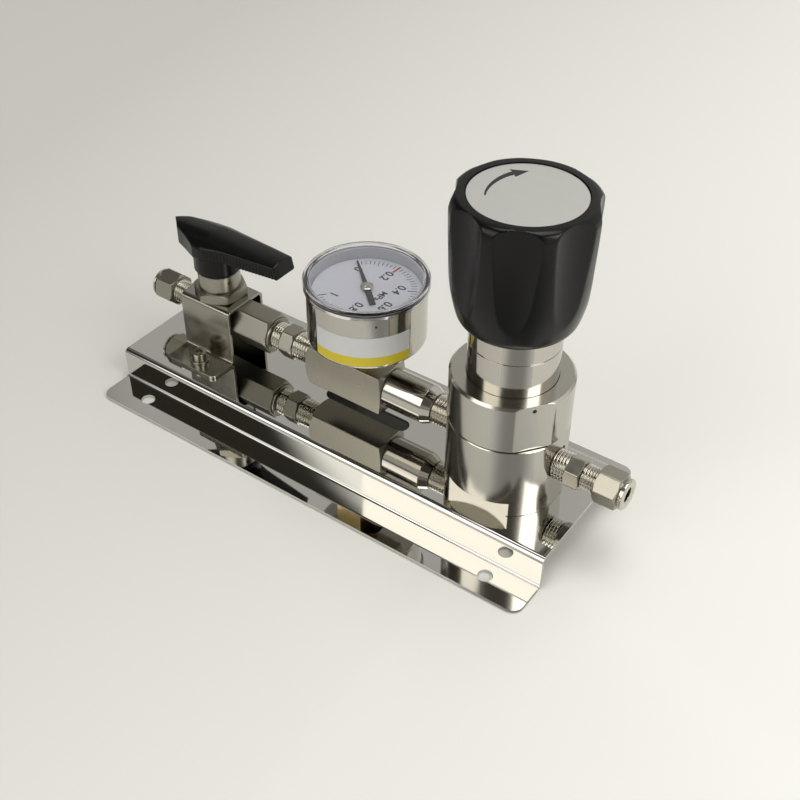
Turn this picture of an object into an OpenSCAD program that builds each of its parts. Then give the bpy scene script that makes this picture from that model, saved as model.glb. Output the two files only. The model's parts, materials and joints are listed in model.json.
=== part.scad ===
// Pressure reducing valve panel: a folded steel panel that carries, from left to right,
// a quarter-turn shut-off valve, a gauge block with its gauge, and a pressure regulator.
// Millimetres, +Z up, +X along the row of fittings from inlet to outlet.
// The origin is the centre of the four mounting holes, on the underside of the flanges.

/* [Panel] */
// length of the folded panel, end to end
panel_length = 232; // [226:1:250]
// width over both side flanges
panel_width = 102; // [99:0.5:110]
// width of the raised channel over its outer faces
channel_width = 66; // [62:0.5:67]
// height of the channel top above the flange undersides
panel_height = 17; // [15:0.5:24]
// thickness of the folded sheet, panel and bracket alike
sheet = 1.5; // [1.2:0.1:1.6]
// outer radius of each fold
fold_radius = 2.7; // [2.2:0.1:3.2]
// radius of the rounded flange corners
corner_radius = 5; // [2:0.5:8]
// distance between the mounting holes along the panel
hole_pitch_x = 190; // [184:1:196]
// distance between the mounting holes across the panel
hole_pitch_y = 82; // [80:0.5:84]
// diameter of the four mounting holes
hole_diameter = 6.5; // [5.5:0.1:7]
// length of the round-ended slot in the channel top, between its two stand-off pieces
slot_length = 45; // [36:1:48]
// width of that slot
slot_width = 7.8; // [6:0.2:10]

/* [Row] */
// height of the row of fittings above the channel top
row_height = 19.8; // [18.4:0.2:21]
// x of the shut-off valve's stem
valve_x = -80; // [-82:0.5:-79]
// x of the gauge connection
gauge_x = -2; // [-4:0.5:0]
// x of the regulator's axis
regulator_x = 77.5; // [76:0.5:80]

/* [Shut-off valve] */
// width across flats of the six-sided valve body
valve_flats = 17.5; // [17:0.1:18]
// reach of the valve body to the left of its stem
valve_reach_left = 17; // [16:0.5:18.5]
// reach of the valve body to the right of its stem
valve_reach_right = 33.4; // [32:0.2:35]
// radius of the ball that opens and shuts the flow
ball_radius = 6.5; // [6.2:0.1:6.7]
// radius of the flow passage
flow_radius = 3; // [2:0.1:3.2]
// radius of the stem
stem_radius = 3; // [2.5:0.1:3.2]
// radius of the packing cap over the stem
cap_radius = 9.8; // [9.2:0.1:10.2]
// width across flats of the nut that clamps the bracket
lock_nut_flats = 22.4; // [22:0.2:24]

/* [Bracket] */
// length of the bracket along the row
bracket_length = 29.4; // [26:0.2:31]
// distance over the outer faces of the bracket's legs
bracket_legs = 24; // [23.4:0.2:25.4]
// width over the bracket's outward feet
bracket_feet = 51.2; // [49:0.2:54]

/* [Handle] */
// reach of the long arm from the stem
handle_reach = 41.2; // [36:0.5:46]
// reach of the short arm from the stem to its point
handle_tail = 24.3; // [20:0.5:27]
// width of the long arm at its end
handle_end_width = 12.6; // [10:0.1:15]
// width of the short arm where its point begins
handle_tail_width = 10; // [8:0.1:13]
// radius of the hub around the stem
hub_radius = 11; // [10.4:0.1:11.6]
// radius of the crown along the handle's top
crown_radius = 16.4; // [14:0.2:22]
// height of the handle's top above the row
handle_top = 43.7; // [42.5:0.1:46]
// number of finger ribs on each side of the long arm
handle_ribs = 21; // [8:1:21]

/* [Fittings] */
// width across flats of both tube nuts
nut_flats = 14.29; // [13.8:0.1:15.8]
// length of both tube nuts
nut_length = 12.9; // [12:0.1:14]
// radius of the tube the nuts grip
tube_radius = 3.2; // [2.6:0.1:3.3]
// radius of the male thread under each tube nut
tube_thread_radius = 5.55; // [5.3:0.05:5.8]
// large radius of the tapered pipe threads
pipe_thread_radius = 6.7; // [6.4:0.05:6.85]
// width across flats of the short nipple after the valve
nipple_flats = 14; // [13.6:0.1:16]
// width across flats of the outlet connector
outlet_flats = 12.7; // [12:0.1:14]
// radius of the round coupling before the regulator
coupling_radius = 9; // [8.4:0.1:10]

/* [Gauge block] */
// x of the block's left face
block_left = -22.5; // [-24:0.5:-21]
// length of the block
block_length = 41.6; // [38:0.2:43]
// width of the block
block_width = 19; // [17:0.5:22]
// height of the block
block_height = 20; // [18:0.5:22]

/* [Gauge] */
// radius of the gauge's steel case
case_radius = 25.7; // [25:0.1:26.5]
// depth of the case behind its clear cover
case_depth = 27.3; // [26.4:0.1:28.6]
// thickness of the clear cover's rim around the case
cover_wall = 1.05; // [0.9:0.05:2.2]
// sideways offset of the gauge's centre from its connection
gauge_offset = 7.65; // [7:0.05:8.2]
// width of the square on the gauge's stem
gauge_square = 14; // [11:0.5:15]

/* [Regulator] */
// outer radius of the regulator body and its cap ring
regulator_radius = 25.4; // [25:0.1:27]
// height of the lower body
body_height = 34.9; // [34.4:0.1:35.6]
// height of the cap ring
ring_height = 22.4; // [22:0.1:23.4]
// radius of the polished neck
neck_radius = 18.5; // [18.2:0.1:18.7]
// depth of the two spanner flats on the cap ring
ring_flat_depth = 1.45; // [0.8:0.05:2]
// lean of the outlet flat on the lower body
outlet_flat_lean = 3.4; // [0:0.2:4]

/* [Knob] */
// largest radius of the knob, just under its top edge
knob_radius = 28; // [27:0.1:30]
// height of the knob
knob_height = 53.8; // [52:0.2:56]
// number of finger flutes
flute_count = 8; // [6:1:9]
// radius of the hollow of a flute
flute_radius = 34; // [26:1:40]
// depth of a flute at the top
flute_depth = 2.5; // [1.8:0.1:3]
// thread travel of the knob for one full turn
screw_pitch = 1.5; // [1:0.25:1.5]
// number of turns between free and hard against the spring
knob_turns = 5; // [3:1:5]

/* [Fits] */
// radial gap between a turning shaft and its bore
running_gap = 0.06; // [0.03:0.01:0.1]
// radial gap where a fixed piece screws or drops into another
seat_gap = 0.05; // [0.02:0.01:0.08]

/* [Hidden] */
$fn = 72;

top = panel_height;
row_z = top + row_height;
gauge_axis = gauge_x + gauge_offset;

// valve heights, counted from the row
flat_z = row_z + valve_flats / 2;
bracket_z = flat_z + sheet;
lock_nut_height = 5;
cap_z = bracket_z + lock_nut_height;
cap_height = 8.45;
neck_thread = 7;
ball_chamber = 7.5;
valve_thread = 7.6;
valve_left = valve_x - valve_reach_left;
valve_right = valve_x + valve_reach_right;
boss_length = 1;

// handle
hub_z = cap_z + cap_height + 0.4;
handle_z = row_z + handle_top;
arm_root = hub_radius - 1.1;
tail_corner = handle_tail - 5.4;
set_screw_z = hub_z + 11.4;
stem_flat = 0.4;

// tube fittings
thread_left = 9.8;
thread_depth = 5;

// gauge block and its neighbours
block_right = block_left + block_length;
block_top = row_z + block_height / 2;
nipple_hex = 7;
nipple_hex_x = valve_right + boss_length + 5.6;
socket_gap = 13.8;
case_z = block_top + socket_gap;
rim_z = case_z + case_depth;
dial_z = rim_z - 5.1;
pinion_radius = 2;
sector_radius = 10;
centre_distance = pinion_radius + sector_radius;
pinion_teeth = 8;
tail_radius = 3;
sector_swing = 54;
pivot_angle = 45;
bourdon_radius = 19;
movement_z = case_z + 9.7;
link_length = 13;

// regulator heights, counted from the channel top
split_z = top + body_height;
ring_z = split_z + 0.3;
seat_z = top + 46;
clamp_z = seat_z + 0.3;
lip_z = seat_z + 6.5;
ring_top = ring_z + ring_height - 0.25;
spigot_radius = regulator_radius - 3.4;
port_wall = regulator_x - regulator_radius;
coupling_left = block_right;
coupling_right = port_wall - 9.1;
plate_z = seat_z + 1.8;
spring_z = plate_z + 2;
button_z = seat_z + 30;
button_height = 4;
ceiling_z = button_z + 5;
boss_z = ceiling_z + 15;
screw_tip = button_z + button_height;
screw_travel = screw_pitch * knob_turns;
knob_z = seat_z + 36.8;
knob_top = knob_z + knob_height;
knob_ceiling = boss_z + screw_travel + 1.5;
disc_radius = 22;
cavity_radius = neck_radius - 2.7;
outlet_x = regulator_x + regulator_radius - 0.25 - tan(outlet_flat_lean) * row_height;
outlet_hex = 6.8;
outlet_hex_x = outlet_x + 6;
outlet_nut_x = outlet_x + 19.5;

steel = [0.80, 0.80, 0.79];
satin = [0.70, 0.68, 0.64];
brass = [0.78, 0.62, 0.32];
black = [0.06, 0.06, 0.06];
soft = [0.92, 0.91, 0.87];

// shared shapes

// a turned shape from points of radius and height
module turned(points) {
    rotate_extrude() polygon(points);
}

// children drawn along +Z are laid along +X, starting at x on the row
module along_row(x) {
    translate([x, 0, row_z]) rotate([0, 90, 0]) children();
}

// a rod between two radii with both rims broken by a small chamfer
module rod(radius, length, chamfer = 0.4) {
    turned([[0, 0], [radius - chamfer, 0], [radius, chamfer],
        [radius, length - chamfer], [radius - chamfer, length], [0, length]]);
}

// a six-sided bar with its corners turned down at both ends
module hex_bar(flats, length, turn = 0, chamfer = 0.8) {
    corner = flats / sqrt(3);
    intersection() {
        rotate([0, 0, turn]) cylinder(r = corner, h = length, $fn = 6);
        turned([[0, 0], [flats / 2 - 0.15, 0], [corner + 0.1, chamfer],
            [corner + 0.1, length - chamfer], [flats / 2 - 0.15, length], [0, length]]);
    }
}

// a male thread shown as rings of the given pitch; the radius may taper along its length
function thread_rings(r0, r1, length, pitch) = let (
        n = floor(length / pitch),
        step = length / n,
        deep = pitch * 0.45
    ) concat([[0, 0], [r0 - deep, 0]],
        [for (i = [0:n - 1], k = [0, 1])
            let (z = step * (i + (k == 0 ? 0.5 : 1)), r = r0 + (r1 - r0) * z / length)
            [k == 0 ? r : r - deep, z]],
        [[0, length]]);

module threaded(r0, r1, length, pitch = 1.4) {
    turned(thread_rings(r0, r1, length, pitch));
}

// a helical spring with closed round wire, standing on z0
module coil(mean, wire, z0, z1, turns, sides = 8, steps = 22) {
    n = floor(turns * steps);
    rise = z1 - z0 - wire;
    points = [for (i = [0:n], s = [0:sides - 1])
        let (a = 360 * turns * i / n, b = 360 * s / sides,
            r = mean + wire / 2 * cos(b), z = z0 + wire / 2 + rise * i / n + wire / 2 * sin(b))
        [r * cos(a), r * sin(a), z]];
    walls = [for (i = [0:n - 1], s = [0:sides - 1])
        let (t = (s + 1) % sides)
        [i * sides + s, (i + 1) * sides + s, (i + 1) * sides + t, i * sides + t]];
    ends = [[for (s = [0:sides - 1]) s],
        [for (s = [0:sides - 1]) n * sides + sides - 1 - s]];
    polyhedron(points, concat(walls, ends), convexity = 8);
}

// folded sheet

// one quarter of a fold, seen end on
module fold_quarter(centre, side_y, side_z) {
    translate(centre) intersection() {
        difference() {
            circle(r = fold_radius);
            circle(r = fold_radius - sheet);
        }
        translate([side_y > 0 ? 0 : -fold_radius, side_z > 0 ? 0 : -fold_radius])
            square(fold_radius);
    }
}

// a hat-shaped folded section: raised top, two legs and two feet turned outward
module hat_section(inner_width, outer_width, height) {
    half = inner_width / 2;
    foot = outer_width / 2;
    inside = fold_radius - sheet;
    translate([-(half - fold_radius), height - sheet])
        square([2 * (half - fold_radius), sheet]);
    for (side = [-1, 1]) {
        fold_quarter([side * (half - fold_radius), height - fold_radius], side, 1);
        fold_quarter([side * (half + inside), sheet + inside], -side, -1);
        translate([side > 0 ? half - sheet : -half, sheet + inside])
            square([sheet, height - fold_radius - sheet - inside]);
        translate([side > 0 ? half + inside : -foot, 0])
            square([foot - half - inside, sheet]);
    }
}

// the section carried along the row
module folded(length, inner_width, outer_width, height) {
    rotate([90, 0, 90]) translate([0, 0, -length / 2])
        linear_extrude(height = length) hat_section(inner_width, outer_width, height);
}

// takes one square corner off a foot, leaving it round
module corner_cut(x, y, r, thick) {
    sx = sign(x);
    sy = sign(y);
    difference() {
        translate([x - (sx > 0 ? r : 1), y - (sy > 0 ? r : 1), -1])
            cube([r + 1, r + 1, thick + 2]);
        translate([x - sx * r, y - sy * r, -2]) cylinder(r = r, h = thick + 4);
    }
}

// centres of the bracket screws and of the regulator screws
function bracket_screw_at(side) = [valve_x, side * (bracket_legs / 2 + 6.7)];
function regulator_screw_at(side) = [regulator_x, side * 16];

module panel() {
    color(steel) difference() {
        folded(panel_length, channel_width, panel_width, panel_height);
        for (sx = [-1, 1], sy = [-1, 1]) {
            corner_cut(sx * panel_length / 2, sy * panel_width / 2, corner_radius, sheet);
            translate([sx * hole_pitch_x / 2, sy * hole_pitch_y / 2, -1])
                cylinder(r = hole_diameter / 2, h = sheet + 2);
        }
        for (side = [-1, 1]) {
            translate(concat(bracket_screw_at(side), top - sheet - 1))
                cylinder(r = 2.2, h = sheet + 2);
            translate(concat(regulator_screw_at(side), top - sheet - 1))
                cylinder(r = 2.7, h = sheet + 2);
        }
        translate([5, 0, top - sheet - 1]) {
            translate([-(slot_length - slot_width) / 2, -slot_width / 2, 0])
                cube([slot_length - slot_width, slot_width, sheet + 2]);
            for (end = [-1, 1])
                translate([end * (slot_length - slot_width) / 2, 0, 0])
                    cylinder(r = slot_width / 2, h = sheet + 2);
        }
    }
}

module valve_bracket() {
    middle = valve_x;
    color(satin) translate([middle, 0, top]) difference() {
        folded(bracket_length, bracket_legs, bracket_feet, bracket_z - top);
        translate([0, 0, bracket_z - top - sheet - 1]) cylinder(r = 7.3, h = sheet + 2);
        for (side = [-1, 1]) {
            translate([0, bracket_screw_at(side)[1], -1]) cylinder(r = 2.2, h = sheet + 2);
            for (end = [-1, 1])
                corner_cut(end * bracket_length / 2, side * bracket_feet / 2, 2.5, sheet);
        }
    }
}

module bracket_screws() {
    color(satin) for (side = [-1, 1])
        translate(concat(bracket_screw_at(side), top - sheet - 4.4)) difference() {
            union() {
                cylinder(r = 2, h = sheet * 2 + 5.2);
                translate([0, 0, sheet * 2 + 5.2]) rod(3.5, 4, 0.3);
            }
            translate([0, 0, sheet * 2 + 7.2]) cylinder(r = 3 / sqrt(3), h = 3, $fn = 6);
        }
}

module bracket_washers() {
    color(satin) for (side = [-1, 1])
        translate(concat(bracket_screw_at(side), top + sheet)) difference() {
            cylinder(r = 4.5, h = 0.8);
            translate([0, 0, -1]) cylinder(r = 2 + seat_gap, h = 3);
        }
}

module bracket_nuts() {
    color(satin) for (side = [-1, 1])
        translate(concat(bracket_screw_at(side), top - sheet - 3.2)) difference() {
            hex_bar(7, 3.2, 30, 0.4);
            translate([0, 0, -1]) cylinder(r = 2 + seat_gap, h = 6);
        }
}

// shut-off valve

module valve_body() {
    chamber_left = ball_radius + 0.5;
    color(satin) difference() {
        union() {
            along_row(valve_left) hex_bar(valve_flats, valve_reach_left + valve_reach_right, 30, 0.9);
            translate([valve_x, 0, flat_z - 1]) {
                cylinder(r = neck_thread, h = cap_z - flat_z + 1.2);
                translate([0, 0, cap_z - flat_z + 1])
                    threaded(neck_thread, neck_thread, 6.3, 1.05);
            }
            along_row(valve_left - thread_left - thread_depth)
                threaded(tube_thread_radius, tube_thread_radius, thread_left + thread_depth + 0.1, 1.27);
        }
        // passage, tube socket and its cone
        along_row(valve_left - 30) cylinder(r = flow_radius, h = 60);
        along_row(valve_left - thread_left - thread_depth - 1)
            cylinder(r = tube_radius + seat_gap, h = 8.5);
        along_row(valve_left - thread_left - thread_depth - 0.1)
            cylinder(r1 = tube_radius + 1.5, r2 = tube_radius, h = 1.8);
        // ball chamber, open to the right
        along_row(valve_x - chamber_left) cylinder(r = 7, h = chamber_left * 2 + 1);
        along_row(valve_x + chamber_left) cylinder(r = valve_thread, h = valve_reach_right);
        // stem recess and packing space
        translate([valve_x, 0, row_z]) cylinder(r = 4.4, h = ball_radius + 1.3);
        translate([valve_x, 0, row_z]) cylinder(r = stem_radius + running_gap, h = 30);
        translate([valve_x, 0, cap_z]) cylinder(r = 5, h = 10);
    }
}

module valve_end() {
    tip = valve_x + ball_radius + 0.5;
    color(satin) difference() {
        union() {
            along_row(tip) rod(valve_thread - seat_gap, valve_right - tip, 0.5);
            along_row(valve_right) rod(8.1, boss_length, 0.3);
        }
        along_row(tip - 1) cylinder(r = flow_radius, h = 60);
        along_row(nipple_hex_x - 16.6)
            cylinder(r1 = pipe_thread_radius - 0.5, r2 = pipe_thread_radius + seat_gap, h = 16.7);
    }
}

// one seat ring: a turned section with a hollow round face that the ball rests on
module seat_ring() {
    hollow = ball_radius + 0.02;
    bore = flow_radius + 0.2;
    low = 4.2;
    high = ball_radius + 0.5;
    from = asin(low / hollow);
    to = acos(bore / hollow);
    turned(concat([for (i = [0:10]) let (a = from + (to - from) * i / 10)
        hollow * [cos(a), sin(a)]], [[bore, high], [7 - seat_gap, high], [7 - seat_gap, low]]));
}

module valve_seats() {
    color(soft) for (side = [-1, 1])
        translate([valve_x, 0, row_z]) rotate([0, 90 * side, 0]) seat_ring();
}

module valve_ball() {
    color(steel) translate([valve_x, 0, row_z]) difference() {
        sphere(r = ball_radius);
        rotate([0, 90, 0]) translate([0, 0, -10]) cylinder(r = flow_radius, h = 20);
        translate([-1.1, -4, ball_radius - 2]) cube([2.2, 8, 4]);
    }
}

module valve_stem() {
    low = ball_radius - 1.6;
    color(steel) translate([valve_x, 0, row_z]) {
        intersection() {
            translate([-1, -3.2, low]) cube([2, 6.4, 1.9]);
            cylinder(r = 3.2, h = 30);
        }
        difference() {
            union() {
                translate([0, 0, ball_radius + 0.1]) cylinder(r = 4.2, h = 1);
                translate([0, 0, ball_radius + 0.1]) rod(stem_radius, handle_top - ball_radius - 4.4, 0.4);
            }
            // flat that the set screw bears on
            translate([-4, stem_flat - stem_radius - 4, hub_z - row_z + 2]) cube([8, 4, 30]);
        }
    }
}

module stem_packing() {
    color(soft) translate([valve_x, 0, cap_z]) for (i = [0:2])
        translate([0, 0, i * 1.6]) difference() {
            cylinder(r = 5 - seat_gap, h = 1.6);
            translate([0, 0, -1]) cylinder(r = stem_radius + running_gap, h = 4);
        }
}

module packing_cap() {
    color(satin) translate([valve_x, 0, cap_z]) difference() {
        union() {
            difference() {
                rod(cap_radius, cap_height, 0.7);
                translate([0, 0, -1]) cylinder(r = neck_thread + seat_gap, h = 7.9);
            }
            translate([0, 0, 4.8]) cylinder(r = 5 - seat_gap, h = 3);
        }
        translate([0, 0, -1]) cylinder(r = stem_radius + 0.2, h = 20);
        // two blind holes for a pin spanner
        for (a = [-20, 160]) rotate([0, 0, a]) translate([cap_radius - 1.6, 0, 5.2])
            rotate([0, 90, 0]) cylinder(r = 0.9, h = 5);
    }
}

module lock_nut() {
    color(satin) translate([valve_x, 0, bracket_z]) difference() {
        hex_bar(lock_nut_flats, lock_nut_height, 27, 1);
        translate([0, 0, -1]) cylinder(r = neck_thread + seat_gap, h = 10);
    }
}

// half widths of the two arms at a distance x from the stem: a straight taper swelling into the hub
function hub_swell(x) = (hub_radius - arm_root) * exp(-pow(x / 8, 2));
function arm_half(x) = arm_root + (handle_end_width / 2 - arm_root) * x / handle_reach + hub_swell(x);
function tail_half(x) = arm_root
    + (handle_tail_width / 2 - arm_root) * max(0, x - 5) / (tail_corner - 5) + hub_swell(x);

// the handle seen from above, with a pointed short arm
module handle_outline() {
    steps = 16;
    side = concat([for (i = [steps:-1:1]) let (x = tail_corner * i / steps) [-x, tail_half(x)]],
        [for (i = [0:steps]) let (x = handle_reach * i / steps) [x, arm_half(x)]]);
    polygon(concat([[-handle_tail, 0]], side,
        [for (i = [len(side) - 1:-1:0]) [side[i][0], -side[i][1]]]));
}

// the handle seen from the front: raised undersides and a raked end face
module handle_side(lift) {
    polygon([[-handle_tail, lift - 11.2], [-9, lift - 11.6], [10, lift - 9.2],
        [handle_reach, lift - 7.8], [handle_reach - 1.5, lift - 1.7], [handle_reach - 2.1, lift - 1.1],
        [handle_reach - 2.6, lift + 1], [-handle_tail, lift + 1]]);
}

module valve_handle() {
    lift = handle_z - hub_z;
    color(black) translate([valve_x, 0, hub_z]) difference() {
        union() {
            intersection() {
                linear_extrude(height = lift + 1) handle_outline();
                rotate([90, 0, 0]) translate([0, 0, -15]) linear_extrude(height = 30) handle_side(lift);
                // crowned top, falling a little toward both ends
                union() {
                    translate([0, 0, lift - crown_radius]) rotate([0, 91.1, 0])
                        translate([0, 0, -3]) cylinder(r = crown_radius, h = 60);
                    translate([0, 0, lift - crown_radius]) rotate([0, -93.4, 0])
                        translate([0, 0, -3]) cylinder(r = crown_radius, h = 40);
                }
            }
            cylinder(r1 = hub_radius - 0.7, r2 = hub_radius, h = 1.2);
            translate([0, 0, 1.2]) cylinder(r = hub_radius, h = lift - 7.5);
        }
        // stem socket
        translate([0, 0, -1]) cylinder(r = stem_radius + seat_gap, h = lift - 3);
        // set screw hole through the front of the hub
        translate([0, 0, set_screw_z - hub_z]) rotate([90, 0, 0]) cylinder(r = 2.05, h = 20);
        // finger ribs, cut as upright grooves on both sides of the long arm
        for (side = [-1, 1], i = [0:handle_ribs - 1])
            let (x = handle_reach * (0.06 + 0.9 * i / handle_ribs))
            translate([x, side * (arm_half(x) + 0.15), lift - 12])
                cylinder(r = 0.55, h = 12 - 1.2 - pow(arm_half(x), 2) / (2 * crown_radius) - 0.02 * x, $fn = 8);
        // one moulded dent near each end of the top
        for (at = [[7 - handle_tail, lift - 0.3], [handle_reach - 6.5, lift - 0.1]])
            translate([at[0], 0, at[1]]) rotate([90, 0, 0]) translate([0, 0, -1.8])
                cylinder(r = 1.1, h = 3.6);
    }
}

module handle_screw() {
    color(black) translate([valve_x, stem_flat - stem_radius, set_screw_z]) rotate([90, 0, 0])
        difference() {
            cylinder(r = 2, h = 6.4);
            translate([0, 0, 4]) cylinder(r = 1.15, h = 3, $fn = 6);
        }
}

// tube nuts and ferrules

// a tube nut that opens at z = 0 and grips the tube at its far end
module tube_nut(turn) {
    hex = nut_length - 2.6;
    difference() {
        union() {
            hex_bar(nut_flats, hex, turn, 0.9);
            translate([0, 0, hex - 0.1]) turned([[0, 0], [nut_flats / 2 - 1.2, 0],
                [nut_flats / 2 - 1.2, 1.1], [nut_flats / 2 - 0.35, 1.4],
                [nut_flats / 2 - 0.35, 2.2], [nut_flats / 2 - 0.9, 2.7], [0, 2.7]]);
        }
        translate([0, 0, -1]) cylinder(r = tube_thread_radius + seat_gap, h = nut_length - 4);
        translate([0, 0, nut_length - 5.1])
            cylinder(r1 = tube_thread_radius + seat_gap, r2 = tube_radius + 0.7, h = 2.3);
        translate([0, 0, -1]) cylinder(r = tube_radius + seat_gap, h = 40);
    }
}

// front ferrule, nested in the cone of the threaded stub, and back ferrule behind it
module ferrule_pair() {
    in = tube_radius + seat_gap;
    d = thread_depth;
    turned([[in, d - 1], [tube_radius + 0.52, d - 1], [tube_radius + 1.33, d - 0.03],
        [tube_radius + 1.33, d + 1.4], [in, d + 1.4]]);
    turned([[in, d + 1.45], [tube_radius + 1.1, d + 1.45], [tube_radius + 1, nut_length - 3.3],
        [in, nut_length - 3.3]]);
}

module inlet_nut() {
    color(satin) along_row(valve_left - thread_left) mirror([0, 0, 1]) tube_nut(15);
}

module inlet_ferrules() {
    color(brass) along_row(valve_left - thread_left) mirror([0, 0, 1]) ferrule_pair();
}

module hex_nipple() {
    left = nipple_hex_x - 16;
    right = nipple_hex_x + nipple_hex;
    reach = block_left + 11 - right;
    color(satin) difference() {
        union() {
            along_row(left) threaded(pipe_thread_radius - 0.5, pipe_thread_radius, 16.1);
            along_row(nipple_hex_x) hex_bar(nipple_flats, nipple_hex, 30, 0.8);
            along_row(right - 0.1) threaded(pipe_thread_radius, pipe_thread_radius - 0.5, reach + 0.1);
        }
        along_row(left - 1) cylinder(r = flow_radius, h = 60);
    }
}

// gauge block

module gauge_block() {
    color(satin) difference() {
        intersection() {
            translate([block_left, -block_width / 2, row_z - block_height / 2])
                cube([block_length, block_width, block_height]);
            // the left end is turned to a 30 degree cone, the right end only broken
            along_row(block_left) turned([[0, 0], [block_width / 2 - 0.2, 0],
                [block_width / 2 + 5.3, 3.2], [block_width / 2 + 5.3, block_length - 1],
                [block_width / 2 - 0.2, block_length], [0, block_length]]);
        }
        along_row(block_left - 1) cylinder(r = flow_radius, h = block_length + 2);
        along_row(block_left - 1)
            cylinder(r1 = pipe_thread_radius + 0.1, r2 = pipe_thread_radius - 0.4, h = 13);
        along_row(block_right - 12)
            cylinder(r1 = pipe_thread_radius - 0.4, r2 = pipe_thread_radius + 0.1, h = 13);
        translate([gauge_x, 0, row_z]) cylinder(r = flow_radius, h = 20);
        translate([gauge_x, 0, row_z + 1.6])
            cylinder(r1 = pipe_thread_radius - 0.4, r2 = pipe_thread_radius + 0.1, h = block_height / 2);
    }
}

// gauge

module at_gauge() {
    translate([gauge_axis, 0, 0]) children();
}

// half-thickness section of the flat Bourdon tube, standing on edge
module tube_section(wide, tall) {
    square([wide, tall - wide], center = true);
    for (end = [-1, 1]) translate([0, end * (tall - wide) / 2]) circle(r = wide / 2);
}

module gauge_socket() {
    z1 = block_top - 8;
    color(brass) difference() {
        union() {
            translate([gauge_x, 0, z1])
                threaded(pipe_thread_radius - 0.45, pipe_thread_radius - 0.02, block_top - z1 + 0.05);
            translate([gauge_x - gauge_square / 2, -gauge_square / 2, block_top])
                cube([gauge_square, gauge_square, case_z - block_top]);
            translate([gauge_x, 0, case_z - 0.1]) cylinder(r = 6.4, h = 1.2);
            translate([gauge_axis - 21, -6, case_z + 0.8]) cube([gauge_x - gauge_axis + 27, 12, 8.9]);
        }
        translate([gauge_x, 0, z1 - 1]) cylinder(r = 1.2, h = 30);
        // slot that holds the root of the Bourdon tube
        translate([gauge_axis, 0, case_z + 5.2]) rotate([0, 0, 170]) rotate_extrude(angle = 40)
            translate([bourdon_radius, 0]) tube_section(1.8 + 2 * seat_gap, 7 + 2 * seat_gap);
    }
}

module bourdon_tube() {
    color(brass) translate([gauge_axis, 0, case_z + 5.2]) {
        rotate([0, 0, 171]) rotate_extrude(angle = 274) translate([bourdon_radius, 0])
            difference() {
                tube_section(1.8, 7);
                tube_section(1, 6.2);
            }
        // closed tip with the slotted ear that the link hooks into
        difference() {
            union() {
                rotate([0, 0, 84]) translate([bourdon_radius - 1.2, -1.5, -3.5]) cube([2.4, 3, 9.1]);
                rotate([0, 0, 86]) translate([bourdon_radius - 2.2, -2.4, 4.8]) cube([5, 5, 0.8]);
            }
            link_slot(link_end(), 5.2, 0.6, 1);
        }
    }
}

// geometry of the movement, seen from above and centred on the pointer
function pivot_at() = centre_distance * [cos(pivot_angle), sin(pivot_angle)];
function slide_dir() = [cos(pivot_angle + 90), sin(pivot_angle + 90)];
function link_start() = pivot_at()
    + tail_radius * [cos(pivot_angle - sector_swing / 2), sin(pivot_angle - sector_swing / 2)];
function link_end() = link_start() + link_length * slide_dir();
link_stroke = 2 * tail_radius * sin(sector_swing / 2);

// a slot along the link's line of travel
module link_slot(from, z, r, deep) {
    for (t = [0:0.1:1])
        translate(concat(from + t * link_stroke * slide_dir(), z - deep)) cylinder(r = r, h = deep * 2);
}

module frame_plate(thick, foot) {
    p = pivot_at();
    cylinder(r = 4, h = thick);
    translate([p[0], p[1], 0]) cylinder(r = 2.6, h = thick);
    rotate([0, 0, pivot_angle]) translate([0, -2.4, 0]) cube([centre_distance, 4.8, thick]);
    translate([-foot, -5, 0]) cube([foot, 10, thick]);
    rotate([0, 0, -16]) translate([0, -2, 0]) cube([15, 4, thick]);
}

module movement_frame() {
    p = pivot_at();
    posts = [[-9, 3.2], [-9, -3.2], [13.2, -3.8]];
    color(brass) translate([gauge_axis, 0, movement_z]) difference() {
        union() {
            frame_plate(0.8, 20);
            translate([0, 0, 7.4]) frame_plate(0.8, 11);
            for (q = posts) translate([q[0], q[1], 0]) cylinder(r = 1.1, h = dial_z - 0.5 - movement_z);
        }
        translate([0, 0, -1]) cylinder(r = 0.8 + running_gap, h = 20);
        translate([p[0], p[1], -1]) cylinder(r = 0.7 + running_gap, h = 20);
    }
}

module sector_gear() {
    p = pivot_at();
    reach = sector_radius - 0.6;
    tooth = 360 / pinion_teeth * pinion_radius / sector_radius;
    first = pivot_angle + 180 - sector_swing;
    color(brass) translate([gauge_axis + p[0], p[1], movement_z]) {
        cylinder(r = 0.7, h = 8.2);
        translate([0, 0, 2.6]) difference() {
            union() {
                cylinder(r = 2, h = 0.8);
                rotate([0, 0, first - 6]) rotate_extrude(angle = sector_swing + 12)
                    translate([reach - 1.8, 0]) square([1.8, 0.8]);
                for (a = [first - 3, first + sector_swing / 2, first + sector_swing + 3])
                    rotate([0, 0, a]) translate([0, -0.6, 0]) cube([reach - 0.6, 1.2, 0.8]);
                rotate([0, 0, pivot_angle - sector_swing / 2]) {
                    translate([0, -1.3, 0]) cube([tail_radius + 0.6, 2.6, 0.8]);
                    translate([tail_radius + 0.6, 0, 0]) cylinder(r = 1.3, h = 0.8);
                }
                for (i = [0:floor(sector_swing / tooth)])
                    rotate([0, 0, pivot_angle + 180 - tooth * i]) translate([reach - 0.1, 0, 0])
                        linear_extrude(height = 0.8)
                        polygon([[0, -0.3], [1, -0.16], [1, 0.16], [0, 0.3]]);
            }
            rotate([0, 0, pivot_angle - sector_swing / 2]) for (t = [-0.4, -0.15, 0.1])
                translate([tail_radius + t, 0, -1]) cylinder(r = 0.6, h = 3);
        }
    }
}

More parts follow.
